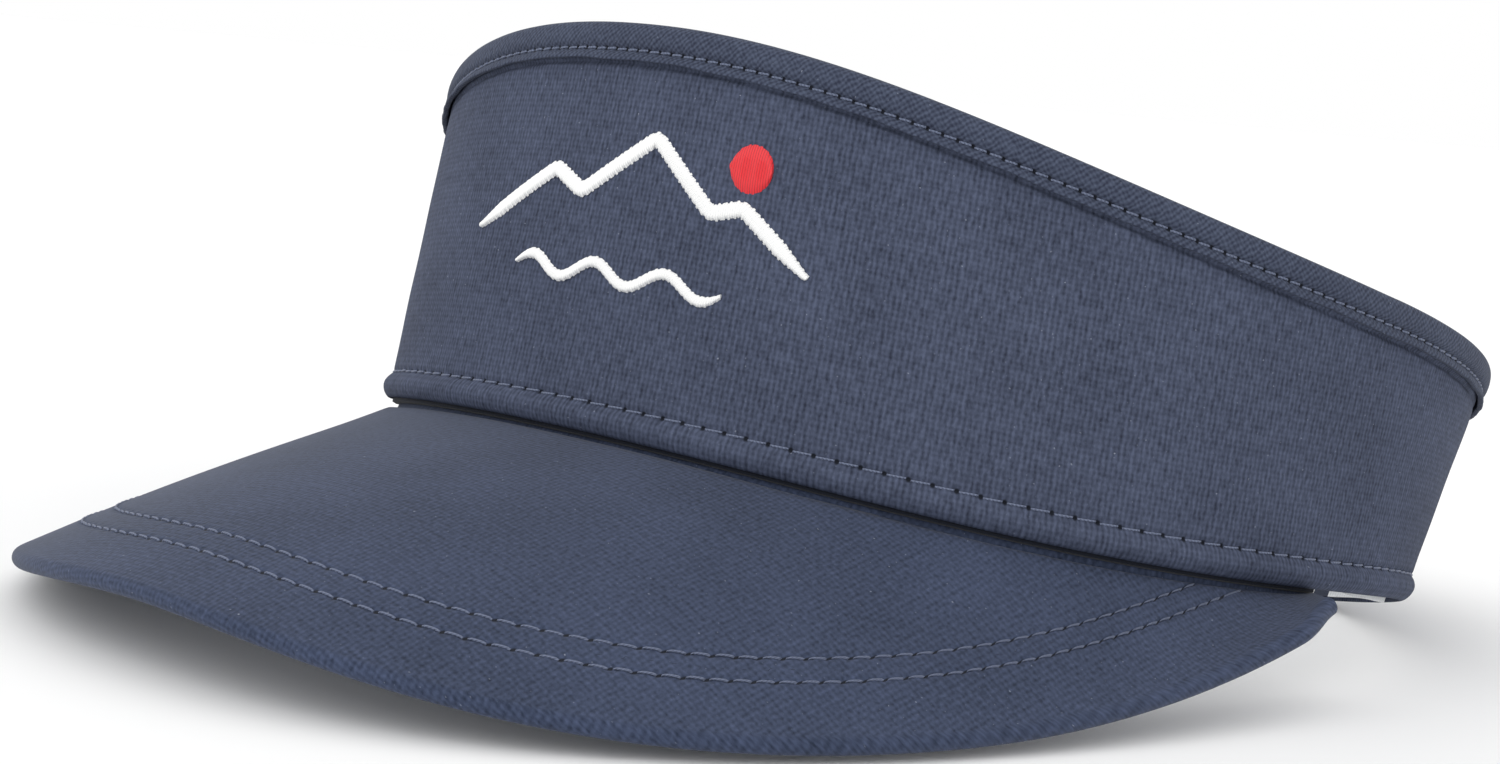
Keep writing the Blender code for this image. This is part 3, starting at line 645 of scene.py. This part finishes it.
def build_shell(mats):
    """The outer shell: down its face, round the puffed hem and up inside, open at both ends for the straps.

    Out is 0 on the face and minus the thickness inside, plus the hem's profile and ripples, a slow sway over
    the body and the swell beside the stitch row, less a crease under the binding and the stitches' dents.
    """
    angles = ring_steps(-CROWN_END, CROWN_END, FINE_STEP)[:, None]
    height = crown_height(angles)
    # Rows lie close together under the binding and at the hem, and further apart over the body.
    body_up = height - 7.6 + (14.6 - height) * np.linspace(0, 1, 26)[1:]
    face_up = np.concatenate([height + 0.4, height - np.linspace(5.0, 7.6, 12), body_up], axis=1)
    near_up = np.linspace(6.8, 5.35, 8) + 0 * angles
    hem_out, hem_up = curve(HEM_LINE, HEM_POINTS).T
    inner_up = np.concatenate([np.array((1.6, *SLOT_UP)) + 0 * angles, height + 0.4], axis=1)
    up = np.concatenate([face_up, near_up, hem_up + 0 * angles, inner_up], axis=1)
    out = np.concatenate([0 * face_up, 0 * near_up, hem_out + 0 * angles, 0 * inner_up - SHELL_THICK], axis=1)
    column = np.arange(up.shape[1])
    inner = column >= up.shape[1] - inner_up.shape[1]
    outer = column < up.shape[1] - inner_up.shape[1] - 3

    along = ring_length(angles)
    number, aside = along / HEM_PITCH, up - HEM_STITCH_UP
    roll = smooth(up, 0.0, 1.8) * smooth(-up, -5.2, -3.4)
    roll = roll * (0.10 * ripple(along, (11.0, 17.0, 29.0, 7.3), 2) + row_puff(number, aside, 0.10, 2.2, 3))
    sway = 0.16 * ripple(along + 0.4 * up, (61.0, 83.0, 47.0), 4)
    sway = sway + 0.05 * ripple(up - 0.2 * number, (17.0, 23.0), 5)
    sway = sway * smooth(up, 5.2, 12.0) * smooth(height - up, 4.0, 10.0)
    swell = row_puff(number, aside, 0.07, 1.6, 6) * smooth(up, 5.2, 6.2)
    crease = 0.5 * bell(height - 5.85 - up, 0.42)
    out = out + outer * (roll + sway + swell - crease - row_dent(number, aside, 0.42, seed=1))

    # The ends are turned in to meet the strap, which leaves between the layers, and their edges are rounded.
    turned_in = smooth(np.abs(angles), CROWN_END - 1.3, CROWN_END - 0.4)
    slot = smooth(up, SLOT_UP[0], SLOT_UP[1]) * smooth(-up, -SLOT_UP[3], -SLOT_UP[2])
    out = out - inner * turned_in * (1 - slot) * 1.25
    out = out - outer * smooth(np.abs(angles), CROWN_END - 0.35, CROWN_END) * 0.22
    shell = crown_skin("crown_shell", angles[:, 0], up, out, mats["band"], "crown",
                       ("crown_shell",), row=HEM_STITCH_UP)


def build_binding(mats):
    """The bias tape round the top edge: puffed above its stitching, with a narrow wavy flange below it."""
    angles = ring_steps(-CROWN_END - 0.4, CROWN_END + 0.4, FINE_STEP)[:, None]
    height = crown_height(angles)
    row_up = BINDING_STITCH_UP - BINDING_WIDTH
    out, rise = (values + 0 * angles for values in curve(BINDING_LINE, BINDING_POINTS).T)
    along = ring_length(angles)
    number, aside = along / BINDING_PITCH, rise - row_up
    face = np.where(out > -1.35, 1.0, -1.0)
    dent = row_dent(number, aside, 0.34, width=0.5, seed=7)
    puff = row_puff(number, aside, 0.11, 1.5, 8) * smooth(np.abs(aside), 0.2, 1.0)
    low = smooth(-rise, 4.3, 5.2)
    out = out + face * (puff - dent + low * 0.14 * ripple(along, (13.0, 19.0, 8.0, 5.1), 9))
    rise = rise + low * 0.16 * ripple(along, (21.0, 12.0, 31.0), 10)
    out = np.concatenate([out, BINDING_INSIDE[:, 0] + 0 * angles], axis=1)
    rise = np.concatenate([rise, BINDING_INSIDE[:, 1] + 0 * angles], axis=1)
    tape = crown_skin("top_binding", angles[:, 0], height + rise, out, mats["binding"], "crown",
                      ("top_binding",), row=height + row_up, pitch=BINDING_PITCH, upright=False)

    def place(along, side, lift):
        angle = ring_angle(along)
        return crown(angle, crown_height(angle) + row_up + side, 0.5 + lift)

    ends = ring_length(CROWN_END - 0.5)
    stitches("top_binding_stitch", place, -ends, ends, BINDING_PITCH, mats["thread"], "crown",
             ("top_binding_stitch",))


def build_lining(mats):
    """The lining: a plain strip from the hem to under the binding, with a slow ripple on its inner side."""
    angles = ring_steps(-CROWN_END, CROWN_END, WIDE_STEP)[:, None]
    rows = 12
    outer_up = 1.0 + (crown_height(angles) - 1.0) * np.linspace(0, 1, rows)
    up = np.concatenate([outer_up, outer_up[:, ::-1]], axis=1)
    wave = 0.12 * ripple(ring_length(angles) + 0.5 * up, (37.0, 23.0, 51.0), 11)
    out = LINING_OUT - np.repeat([0, 1], rows) * (LINING_THICK - wave)
    lining = crown_skin("crown_lining", angles[:, 0], up, out, mats["lining"], "crown",
                        ("crown_lining",))


def build_hem_stitching(mats):
    """The row of lockstitch above the hem, sunk into the groove that it pulls."""

    def place(along, side, lift):
        return crown(ring_angle(along), HEM_STITCH_UP + side, lift - 0.22)

    ends = ring_length(CROWN_END - 0.5)
    stitches("hem_stitch", place, -ends, ends, HEM_PITCH, mats["thread"], "crown", ("hem_stitch",))


# ---------------------------------------------------------------- sweatband


def sweatband_out(angle):
    """The sweatband's outer face stands further in at the front, over its foam pad."""
    front, side = SWEATBAND_OUT
    return front + (side - front) * smooth(np.abs(angle), FOAM_END, FOAM_END + 25)


def sweatband_low(angle):
    """The sweatband's lower edge: inside the hem, and a little below it between the brim and the back."""
    beyond_brim = smooth(np.abs(angle), BRIM_END + 4, BRIM_END + 10)
    return 0.8 - 1.3 * (beyond_brim - smooth(np.abs(angle), 120, 140))


def sweatband_swell(angle, share):
    """How far the band swells at share s of its height: sin(pi s^0.9)^0.6, and a quarter past the foam."""
    padding = 0.25 + 0.75 * (1 - smooth(np.abs(angle), FOAM_END - 6, FOAM_END + 6))
    return padding * np.sin(math.pi * share**0.9) ** 0.6


def build_sweatband(mats):
    """A knit band with a turned top edge, padded at the forehead and sewn near its top."""
    angles = ring_steps(-SWEATBAND_END, SWEATBAND_END, 0.8)[:, None]
    base, low = sweatband_out(angles), sweatband_low(angles)
    rows = np.linspace(0, 1, 26)
    inner_up = low + (SWEATBAND_TOP - low) * rows
    along = ring_length(angles)
    swell = sweatband_swell(angles, rows) * (1.0 + 0.12 * ripple(along, (23.0, 31.0, 13.0), 12))
    dent = row_dent(along / STRAP_PITCH, inner_up - SWEATBAND_SEAM_UP, 0.35, seed=13)
    inner_out = base - SWEATBAND_THICK - swell + dent
    # The turned edge goes over the top in three steps, out and up.
    over_out, over_up = np.array([(0.25, 0.55), (0.5, 0.85), (0.0, 0.9)]).T
    outer_up = np.concatenate([inner_up[:, ::-3], low], axis=1)
    up = np.concatenate([inner_up, SWEATBAND_TOP + over_up + 0 * angles, outer_up], axis=1)
    out = np.concatenate([inner_out, base - SWEATBAND_THICK + over_out, base + 0 * outer_up], axis=1)
    band = crown_skin("sweatband", angles[:, 0], up, out, mats["sweatband"], "crown",
                      ("sweatband",), row=SWEATBAND_SEAM_UP, pitch=STRAP_PITCH)

    def place(along, side, lift):
        angle = ring_angle(along)
        low = sweatband_low(angle)
        swell = sweatband_swell(angle, (SWEATBAND_SEAM_UP - low) / (SWEATBAND_TOP - low))
        face = sweatband_out(angle) - SWEATBAND_THICK - swell
        return crown(angle, SWEATBAND_SEAM_UP + side, face + 0.15 - lift)

    ends = ring_length(SWEATBAND_END - 1.0)
    stitches("sweatband_stitch", place, -ends, ends, STRAP_PITCH, mats["thread"], "crown",
             ("sweatband_stitch",))


def build_label(mats):
    """A blank satin tag, folded at its lower edge and curling a little off the sweatband."""
    first, last = -130.0, -110.0
    low, high = 4, 22
    angles = ring_steps(first, last, 0.8)[:, None]
    share = (angles - first) / (last - first)
    up = np.concatenate([np.linspace(low, high, 14), np.linspace(high, low, 14)]) + 0 * angles
    curl = 0.9 * smooth(high - up, 4, 18) ** 2 + 0.25 * ripple(share * 20 + up, (13.0, 9.0), 14)
    out = SWEATBAND_OUT[1] - SWEATBAND_THICK - 0.62 - curl - np.repeat([0.0, 0.35], 14)
    crown_skin("care_label", angles[:, 0], up, out, mats["label"], "crown", ("care_label",))


# ---------------------------------------------------------------- brim


def brim_spans(turns):
    """Spans for each turn: steps of half a millimetre near the outline and wider steps towards the crown."""
    reach = brim_reach(turns)
    fine = np.minimum(22.5, 0.9 * reach)
    near = 1 - np.linspace(0, 1, 46) * fine / reach
    far = near[:, -1:] * np.linspace(1, 0, 51)[1:]
    return np.concatenate([near, far], axis=1)[:, ::-1]


def brim_seam(turns, spans):
    """The stitch number and mm to the side of the nearest row at each place, and whether it shows there."""
    rows = [inset_span(turns, inset) for inset in BRIM_ROWS.values()]
    aside = [(row - spans) * brim_reach(turns) for row in rows]
    outer = np.abs(aside[0]) < np.abs(aside[1])
    nearest = np.where(outer, *aside)
    shown = smooth(np.where(outer, *rows), 0.01, 0.03)
    along = np.interp(turns, *ROW_TABLE) / BRIM_PITCH + 0 * spans
    return along, nearest, shown


def brim_patterns(turns, spans, points):
    """A cover's patterns: its plan in cm, then its girth straight outwards; and its face's stitch rows."""
    plan = brim_face(turns, spans)[..., :2] / 10
    girth = along_outline(points)[:, spans.shape[1] - 1 :]
    girth = girth[:, 1:] - girth[:, :1]
    outwards = unit(plan[:, -1:] - plan[:, :1]) * girth[..., None]
    along, aside, shown = brim_seam(turns, spans)
    along = np.concatenate([along, along[:, -1:] + 0 * girth], axis=1)
    aside = np.concatenate([np.where(shown > 0.5, aside, NO_ROW), np.full(girth.shape, NO_ROW)], axis=1)
    return np.concatenate([plan, plan[:, -1:] + outwards], axis=1), np.stack([along, aside], axis=-1)


def build_brim_top(mats):
    """The upper cover: over the face, round the board's edge and back inside, closed over the board's ends.

    Lift is a slow sway and the swell beside the stitch rows, less their dents and a crease along the crown.
    """
    turns = brim_turns(BRIM_STEP)[:, None]
    spans = brim_spans(turns)
    along, aside, shown = brim_seam(turns, spans)
    x, y, _ = np.moveaxis(brim_face(turns, spans), -1, 0)
    sway = 0.10 * ripple(x + 0.6 * y, (53.0, 37.0, 71.0), 15)
    sway = sway * smooth(1 - spans, 0.0, 0.2) * smooth(spans, 0.0, 0.06)
    rows = shown * (row_puff(along, aside, 0.05, 1.5, 16) - row_dent(along, aside, 0.30, seed=17))
    crease = 0.9 * bell(spans * ruling(turns) - 1.3, 0.8)
    roll = np.radians(np.linspace(84, -90, 20))
    back = roll[::-3]
    inner_radius = LIP_RADIUS - COVER_THICK
    inner_spans = np.r_[np.linspace(1, 0.03, 12), 0.025, 0.0] + 0 * turns
    closing = (inner_spans < 0.028) | (np.abs(turns) > BRIM_END - 0.12)
    inner_lift = np.where(closing, COVER_THICK + 0.1 - BRIM_THICK, -COVER_THICK)
    parts = (
        brim(turns, spans, sway + rows - crease),
        brim(turns, 1.0, LIP_RADIUS * np.sin(roll) - LIP_RADIUS, LIP_RADIUS * np.cos(roll)),
        brim(turns, 1.0, inner_radius * np.sin(back) - LIP_RADIUS, inner_radius * np.cos(back)),
        brim(turns, inner_spans, inner_lift),
    )
    points = np.concatenate(parts, axis=1)
    cloth, seam = brim_patterns(turns, spans, points)
    top = skin("brim_top_cover", points, mats["brim"], "crown", ("brim_top_cover",), cloth, seam)


def build_brim_board(mats):
    """The board: a plate inside the covers, short of their closed inner edge and ends."""
    turns = brim_turns(BRIM_STEP)[:, None]
    turns = turns[np.abs(turns[:, 0]) < BRIM_END - 0.3]
    spans = np.linspace(0.05, 0.985, 20) + 0 * turns
    above = brim(turns, spans, -COVER_THICK - GAP)
    below = brim(turns, spans[:, ::-1], GAP + COVER_THICK - BRIM_THICK)
    points = np.concatenate([above, below], axis=1)
    skin("brim_board", points, mats["board"], "crown", ("brim_board",))


def build_brim_under(mats):
    """The under cover: below the board, with its edge turned round just inside the upper cover's."""
    turns = brim_turns(BRIM_STEP)[:, None]
    spans = brim_spans(turns)[:, ::2]
    along, aside, shown = brim_seam(turns, spans)
    rows = shown * (row_puff(along, aside, 0.05, 1.5, 18) - row_dent(along, aside, 0.25, seed=19))
    margin = 1 - 2 * GAP / ruling(turns)
    edge = np.radians(np.linspace(-90, 90, 7))
    half = COVER_THICK / 2
    parts = (
        brim(turns, spans * margin, -BRIM_THICK - rows),
        brim(turns, margin, half * np.sin(edge) - BRIM_THICK + half, half * np.cos(edge)),
        brim(turns, np.linspace(1, 0, 10) * margin, COVER_THICK - BRIM_THICK),
    )
    points = np.concatenate(parts, axis=1)
    cloth, seam = brim_patterns(turns, spans, points)
    nodes = ("brim_under_cover",)
    under = skin("brim_under_cover", points, mats["brim"], "crown", nodes, cloth, seam)


def build_brim_row(name, inset, base, side, mats):
    """One stitch row, inset mm inside the outline at height base; side is 1 above and -1 below."""
    seen = ALL_TURNS[inset_span(ALL_TURNS, inset) > 0.02]
    first, last = np.interp(seen[[0, -1]], *ROW_TABLE)

    def place(along, aside, lift):
        turn = np.interp(along, ROW_TABLE[1], ROW_TABLE[0])
        turn, aside, lift = np.broadcast_arrays(turn, aside, lift)
        return brim(turn, inset_span(turn, inset - aside), base + side * lift)

    stitches(name, place, first, last, BRIM_PITCH, mats["thread"], "crown", (name,))


def build_brim(mats):
    """Two covers over a board, their stitch rows, and the seam allowance that runs up inside the crown."""
    build_brim_top(mats)
    build_brim_board(mats)
    build_brim_under(mats)
    for row, inset in BRIM_ROWS.items():
        build_brim_row(f"brim_stitch_{row}", inset, -0.12, 1, mats)
        build_brim_row(f"brim_under_stitch_{row}", inset, -BRIM_THICK + 0.1, -1, mats)

    # The tab's profile: up inside the shell, down again, and a lip over the covers' closed inner edge.
    angles = ring_steps(-BRIM_END + 0.4, BRIM_END - 0.4, WIDE_STEP)[:, None]
    up = np.array([0.1, 3.0, 6.0, 9.0, 9.0, 6.0, 3.0, 0.1, -0.35, -0.6, -0.62, -0.35]) + 0 * angles
    out = np.array([-1.0, -1.0, -1.0, -1.0, -1.9, -1.9, -1.9, -1.9, -2.2, -2.6, -1.6, -1.0]) + 0 * angles
    crown_skin("brim_seam_tab", angles[:, 0], up, out, mats["brim"], "crown", ("brim_seam_tab",))


# ---------------------------------------------------------------- back straps


def strap_out(angle, overlap_out):
    """A strap leaves between the crown's layers and eases out to where the two straps overlap."""
    ramp = smooth(np.abs(angle), STRAP_ROOT, STRAP_ROOT + STRAP_RAMP)
    return MIDDLE_OUT + (overlap_out - MIDDLE_OUT) * ramp


def strap_half(angle, end, inset=0.0):
    """Half the strap's width at an angle: constant, then a rounded end of half an ellipse."""
    half = (STRAP_UP[1] - STRAP_UP[0]) / 2
    left = np.clip((end - np.abs(angle)) / STRAP_END_ROUND, 0, 1)
    return half * np.sqrt(1 - 0.8 * (1 - left) ** 2) - inset


def build_strap(side, name, end, overlap_out, mats):
    """One strap: a flat band with thinned edges and a rounded end, dented by its stitching on both faces."""
    angles = side * ring_steps(STRAP_HIDDEN_FROM, end, FINE_STEP)[:, None]
    half = strap_half(angles, end)
    across = np.concatenate([np.linspace(-1, 1, 27), np.linspace(1, -1, 13)]) + 0 * angles
    face = np.repeat([1.0, -1.0], [27, 13])
    up = STRAP_MIDDLE + half * across
    crush = 1 - 0.5 * smooth(np.abs(across), 0.93, 1.0)
    along = ring_length(angles)
    aside = half - np.abs(up - STRAP_MIDDLE) - STRAP_STITCH_IN
    dent = row_dent(along / STRAP_PITCH, aside, 0.16, seed=20)
    dent = dent * smooth(np.abs(angles), STRAP_STITCH_FROM - 0.5, STRAP_STITCH_FROM + 0.5)
    out = strap_out(angles, overlap_out) - STRAP_THICK / 2 + face * (STRAP_THICK / 2 * crush - dent)
    cloth = np.stack([close(along + 0 * up) / 10, close(up) / 10], axis=-1)
    shown = np.abs(angles) > STRAP_STITCH_FROM - 0.25
    seam = np.stack([close(along + 0 * up) / STRAP_PITCH, close(np.where(shown, aside, NO_ROW))], axis=-1)
    nodes = (f"{name}_strap", f"{name}_strap_root")
    strap = skin(nodes[0], crown(angles, up, out), mats["strap"], None, nodes, cloth, seam)
    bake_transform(strap)


def build_strap_stitching(side, name, end, overlap_out, mats):
    """The row round a strap's edge: on the hook strap's outer face and the loop strap's inner face."""
    first = float(ring_length(STRAP_STITCH_FROM))
    straight = float(ring_length(end)) - STRAP_STITCH_IN - first
    whole = 2 * straight + STRAP_STITCH_TURN

    def place(along, aside, lift):
        """Along the lower edge, round the end and back along the upper edge, inside the strap's outline."""
        turn = math.pi * np.clip((along - straight) / STRAP_STITCH_TURN, 0, 1)
        travelled = first + np.minimum(np.minimum(along, whole - along), straight)
        inner = strap_half(side * ring_angle(travelled), end, STRAP_STITCH_IN) - aside
        angle = side * ring_angle(travelled + 1.2 * np.sin(turn))
        sunk = lift - 0.1
        out = strap_out(angle, overlap_out) + (sunk if side > 0 else -STRAP_THICK - sunk)
        return crown(angle, STRAP_MIDDLE - inner * np.cos(turn), out)

    node = f"{name}_strap_stitch"
    stitches(node, place, 0.0, whole, STRAP_PITCH, mats["thread"], f"{name}_tab", (node,))


def build_root_stitching(side, name, mats):
    """The rectangle of stitching that holds a strap's root to the crown."""
    low, high = (float(ring_length(a)) for a in ROOT_STITCH_ANGLES)
    wide, tall = high - low, STRAP_UP[1] - STRAP_UP[0] - 2 * STRAP_STITCH_IN
    whole = 2 * (wide + tall)

    def place(along, aside, lift):
        """Round a rectangle on the shell, clockwise from its lower front corner."""
        along = along % whole
        x = np.clip(along, 0, wide) - np.clip(along - wide - tall, 0, wide)
        y = np.clip(along - wide, 0, tall) - np.clip(along - 2 * wide - tall, 0, tall)
        upright = ((along > wide) & (along < wide + tall)) | (along > 2 * wide + tall)
        x, y = x + np.where(upright, aside, 0), y + np.where(upright, 0, aside)
        return crown(side * ring_angle(low + x), STRAP_UP[0] + STRAP_STITCH_IN + y, lift - 0.02)

    node = f"{name}_root_stitch"
    pitch = whole / round(whole / STRAP_PITCH)
    stitches(node, place, 0.0, whole + 0.01, pitch, mats["thread"], "crown", (node,))


def build_patch(side, name, span, out, mats):
    """A hook or loop patch: a thin plate with rounded corners and a soft edge, its middle at out."""
    angles = side * ring_steps(*span, 0.8)[:, None]
    across = np.concatenate([np.linspace(-1, 1, 21), np.linspace(1, -1, 21)])
    middle, half = sum(PATCH_UP) / 2, (PATCH_UP[1] - PATCH_UP[0]) / 2
    from_end = np.minimum(np.abs(np.abs(angles) - span[0]), np.abs(span[1] - np.abs(angles)))
    corner = 1 - 0.12 * (1 - np.clip(from_end / 1.5, 0, 1)) ** 2
    crush = 1 - 0.6 * smooth(np.abs(across), 0.9, 1.0)
    level = out + np.repeat([0.5, -0.5], 21) * PATCH_THICK * crush + 0 * angles
    crown_skin(f"{name}_patch", angles[:, 0], middle + half * across * corner, level, mats[f"{name}_tape"],
               f"{name}_tab", (f"{name}_patch",))


def build_closure(mats):
    """The hook strap comes from the wearer's left and laps over the loop strap from the right."""
    straps = ((1, "hook", HOOK_STRAP_END, HOOK_OVERLAP_OUT), (-1, "loop", LOOP_STRAP_END, LOOP_OVERLAP_OUT))
    for side, name, end, overlap_out in straps:
        build_strap(side, name, end, overlap_out, mats)
        build_strap_stitching(side, name, end, overlap_out, mats)
        build_root_stitching(side, name, mats)
    patch_off = (GAP + PATCH_THICK) / 2
    build_patch(1, "hook", HOOK_PATCH_ANGLES, HOOK_OVERLAP_OUT - STRAP_THICK - patch_off, mats)
    build_patch(-1, "loop", LOOP_PATCH_ANGLES, LOOP_OVERLAP_OUT + patch_off, mats)


# ---------------------------------------------------------------- emblem


# The mark's middle, mm round the front and up, its width, and its strokes' half widths.
EMBLEM_ARC = 6.5
EMBLEM_UP = 32.0
EMBLEM_WIDTH = 76.0
RIDGE_STROKE = 1.35
WAVE_STROKE = 0.95
RIDGE_HEIGHT = 18.0
RIDGE_SHAPE = ((0, 0), (0.26, 0.62), (0.36, 0.42), (0.56, 1.0), (0.74, 0.4), (0.82, 0.5), (1, 0))
SUN_PLACE = (31.0, 47.5)
SUN_RADIUS = 4.0
SATIN_THREAD = 0.45


def satin_stroke(name, centre, half, mat, replaced, slant=0.35, jag=0.10):
    """A satin-stitched stroke: threads laid side by side across a line, each a low ridge over a rounded pad.

    centre is (round the front, up) in mm, half the half width at each point. The top is 0.08 + 0.62 (1 - k^4)
    mm high at k from -1 to 1 across, with a cosine of one thread added, and each thread ends a little further
    out or in.
    """
    step = np.r_[0, np.cumsum(np.hypot(*np.diff(centre, axis=0).T))]
    count = int(step[-1] / SATIN_THREAD) * 4 + 1
    at = np.linspace(0, step[-1], count)[:, None]
    k = np.concatenate([np.linspace(-1, 1, 11), [0.5, -0.5]])[None, :]
    top = np.r_[np.ones(11), 0, 0][None, :]
    where = at + slant * k
    thread = at / SATIN_THREAD
    jag = jag * np.sin(np.floor(thread + 0.5) * 2.399) * np.abs(k) ** 3
    x, y, wide = (np.interp(where, step, v) for v in (centre[:, 0], centre[:, 1], half))
    dx, dy = (np.interp(at, step, np.gradient(v, step)) for v in (centre[:, 0], centre[:, 1]))
    size = np.hypot(dx, dy)
    reach = k * wide * (1 + jag)
    x, y = x - dy / size * reach, y + dx / size * reach
    ridge = 0.07 * np.cos(2 * math.pi * thread)
    lift = np.where(top > 0, 0.08 + (0.62 + ridge) * (1 - np.abs(k) ** 4), 0.02)
    points = crown(ring_angle(x), y, lift)
    pattern = np.stack(np.broadcast_arrays(at / 10, close(np.broadcast_to(k, x.shape))), axis=-1)
    return skin(name, points, mat, "crown", replaced, cloth=pattern)


def build_emblem(mats):
    """A generic embroidered mark: a ridge line over a wave, and a round sun."""
    k = np.linspace(0, 1, 801)
    shape = np.interp(k, *zip(*RIDGE_SHAPE))
    window = np.hanning(41)
    padded = np.r_[np.full(20, shape[0]), shape, np.full(20, shape[-1])]
    rounded = np.convolve(padded, window / window.sum(), "valid")
    ridge = np.c_[EMBLEM_ARC + EMBLEM_WIDTH * (k - 0.5), EMBLEM_UP + RIDGE_HEIGHT * rounded]
    ends = np.clip(np.sin(math.pi * (0.04 + 0.92 * k)) * 3, 0.1, 1)
    wave_up = EMBLEM_UP - 5.5 + 1.6 * np.sin(k * 6 * math.pi)
    wave = np.c_[EMBLEM_ARC + 0.62 * EMBLEM_WIDTH * (k - 0.5), wave_up]
    white = mats["thread_white"]
    satin_stroke("emblem_ridge", ridge, RIDGE_STROKE * ends, white, ("emblem_ridge",))
    satin_stroke("emblem_wave", wave, WAVE_STROKE * ends, white, ("emblem_wave",))
    angle = np.linspace(-math.pi / 2 + 0.12, math.pi / 2 - 0.12, 201)
    sun = np.c_[SUN_PLACE[0] + SUN_RADIUS * np.sin(angle), SUN_PLACE[1] + 0 * angle]
    satin_stroke("emblem_sun", sun, SUN_RADIUS * np.cos(angle), mats["thread_red"],
                 ("emblem_sun",), slant=0, jag=0.025)


# ---------------------------------------------------------------- studio


CAMERA_TARGET = Vector((0.0, 0.0074, 0.0425))
CAMERA_DISTANCE = 0.5067
CAMERA_AZIMUTH = math.radians(41.23)
CAMERA_ELEVATION = math.radians(6.03)
CAMERA_ROLL = math.radians(5.11)
CAMERA_LENS = 66.36
CAMERA_SHIFT = (-0.0372, -0.0093)
KEY_FROM = (0.25, -1.0, 0.75)
KEY_SPREAD = 70
KEY_STRENGTH = 0.9
FLOOR_HALF = 30.0


def build_camera():
    """The camera on a line from its target at an azimuth and elevation, rolled about that line."""
    a, e = CAMERA_AZIMUTH, CAMERA_ELEVATION
    back = Vector((math.sin(a) * math.cos(e), -math.cos(a) * math.cos(e), math.sin(e)))
    level = Vector((math.cos(a), math.sin(a), 0))
    upright = back.cross(level)
    right = level * math.cos(CAMERA_ROLL) + upright * math.sin(CAMERA_ROLL)
    up = back.cross(right)
    data = bpy.data.cameras.new("camera")
    data.lens = CAMERA_LENS
    data.shift_x, data.shift_y = CAMERA_SHIFT
    data.clip_start, data.clip_end = 0.01, 20
    camera = bpy.data.objects.new("camera", data)
    bpy.context.scene.collection.objects.link(camera)
    turned = Matrix((right, up, back)).transposed().to_4x4()
    camera.matrix_world = Matrix.Translation(CAMERA_TARGET + back * CAMERA_DISTANCE) @ turned
    bpy.context.scene.camera = camera


def soft_sun(name, place, spread, strength):
    """Light from a wide patch of sky in the direction of place, the same over the whole floor."""
    data = bpy.data.lights.new(name, "SUN")
    data.angle, data.energy = math.radians(spread), strength
    lamp = bpy.data.objects.new(name, data)
    bpy.context.scene.collection.objects.link(lamp)
    lamp.rotation_euler = (-Vector(place)).to_track_quat("-Z", "Y").to_euler()


def build_studio():
    """A white room: even light from all round, with a broad soft light over the camera's shoulder."""
    world = bpy.data.worlds.new("white_room")
    bpy.context.scene.world = world
    world.use_nodes = True
    world.node_tree.nodes["Background"].inputs["Color"].default_value = (1, 1, 1, 1)
    world.node_tree.nodes["Background"].inputs["Strength"].default_value = 1.0
    soft_sun("key", KEY_FROM, KEY_SPREAD, KEY_STRENGTH)
    mesh = bpy.data.meshes.new("floor")
    corners = [(x * FLOOR_HALF, y * FLOOR_HALF, 0) for x, y in ((-1, -1), (1, -1), (1, 1), (-1, 1))]
    mesh.from_pydata(corners, [], [(0, 1, 2, 3)])
    # Matt white paper: it takes a soft shadow and shows no gloss.
    paper, _, shader = surface("white_paper", 0.9)
    shader.inputs["Base Color"].default_value = srgb("#F6F6F6")
    mesh.materials.append(paper)
    floor = bpy.data.objects.new("floor", mesh)
    bpy.context.scene.collection.objects.link(floor)
    bpy.context.scene.view_settings.view_transform = "Standard"


def finish_hidden_nodes(mats):
    """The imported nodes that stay: the stiffener and the foam pad, out of sight inside the crown."""
    for node, name in (("front_stiffener", "stiffener"), ("sweatband_foam", "foam")):
        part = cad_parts[node]
        part.data.materials.clear()
        part.data.materials.append(mats[name])


def main():
    """Builds every piece from the crown out, then the camera and the studio."""
    mats = make_materials()
    build_shell(mats)
    build_lining(mats)
    build_binding(mats)
    build_hem_stitching(mats)
    build_sweatband(mats)
    build_label(mats)
    build_brim(mats)
    build_closure(mats)
    build_emblem(mats)
    finish_hidden_nodes(mats)
    build_camera()
    build_studio()


main()
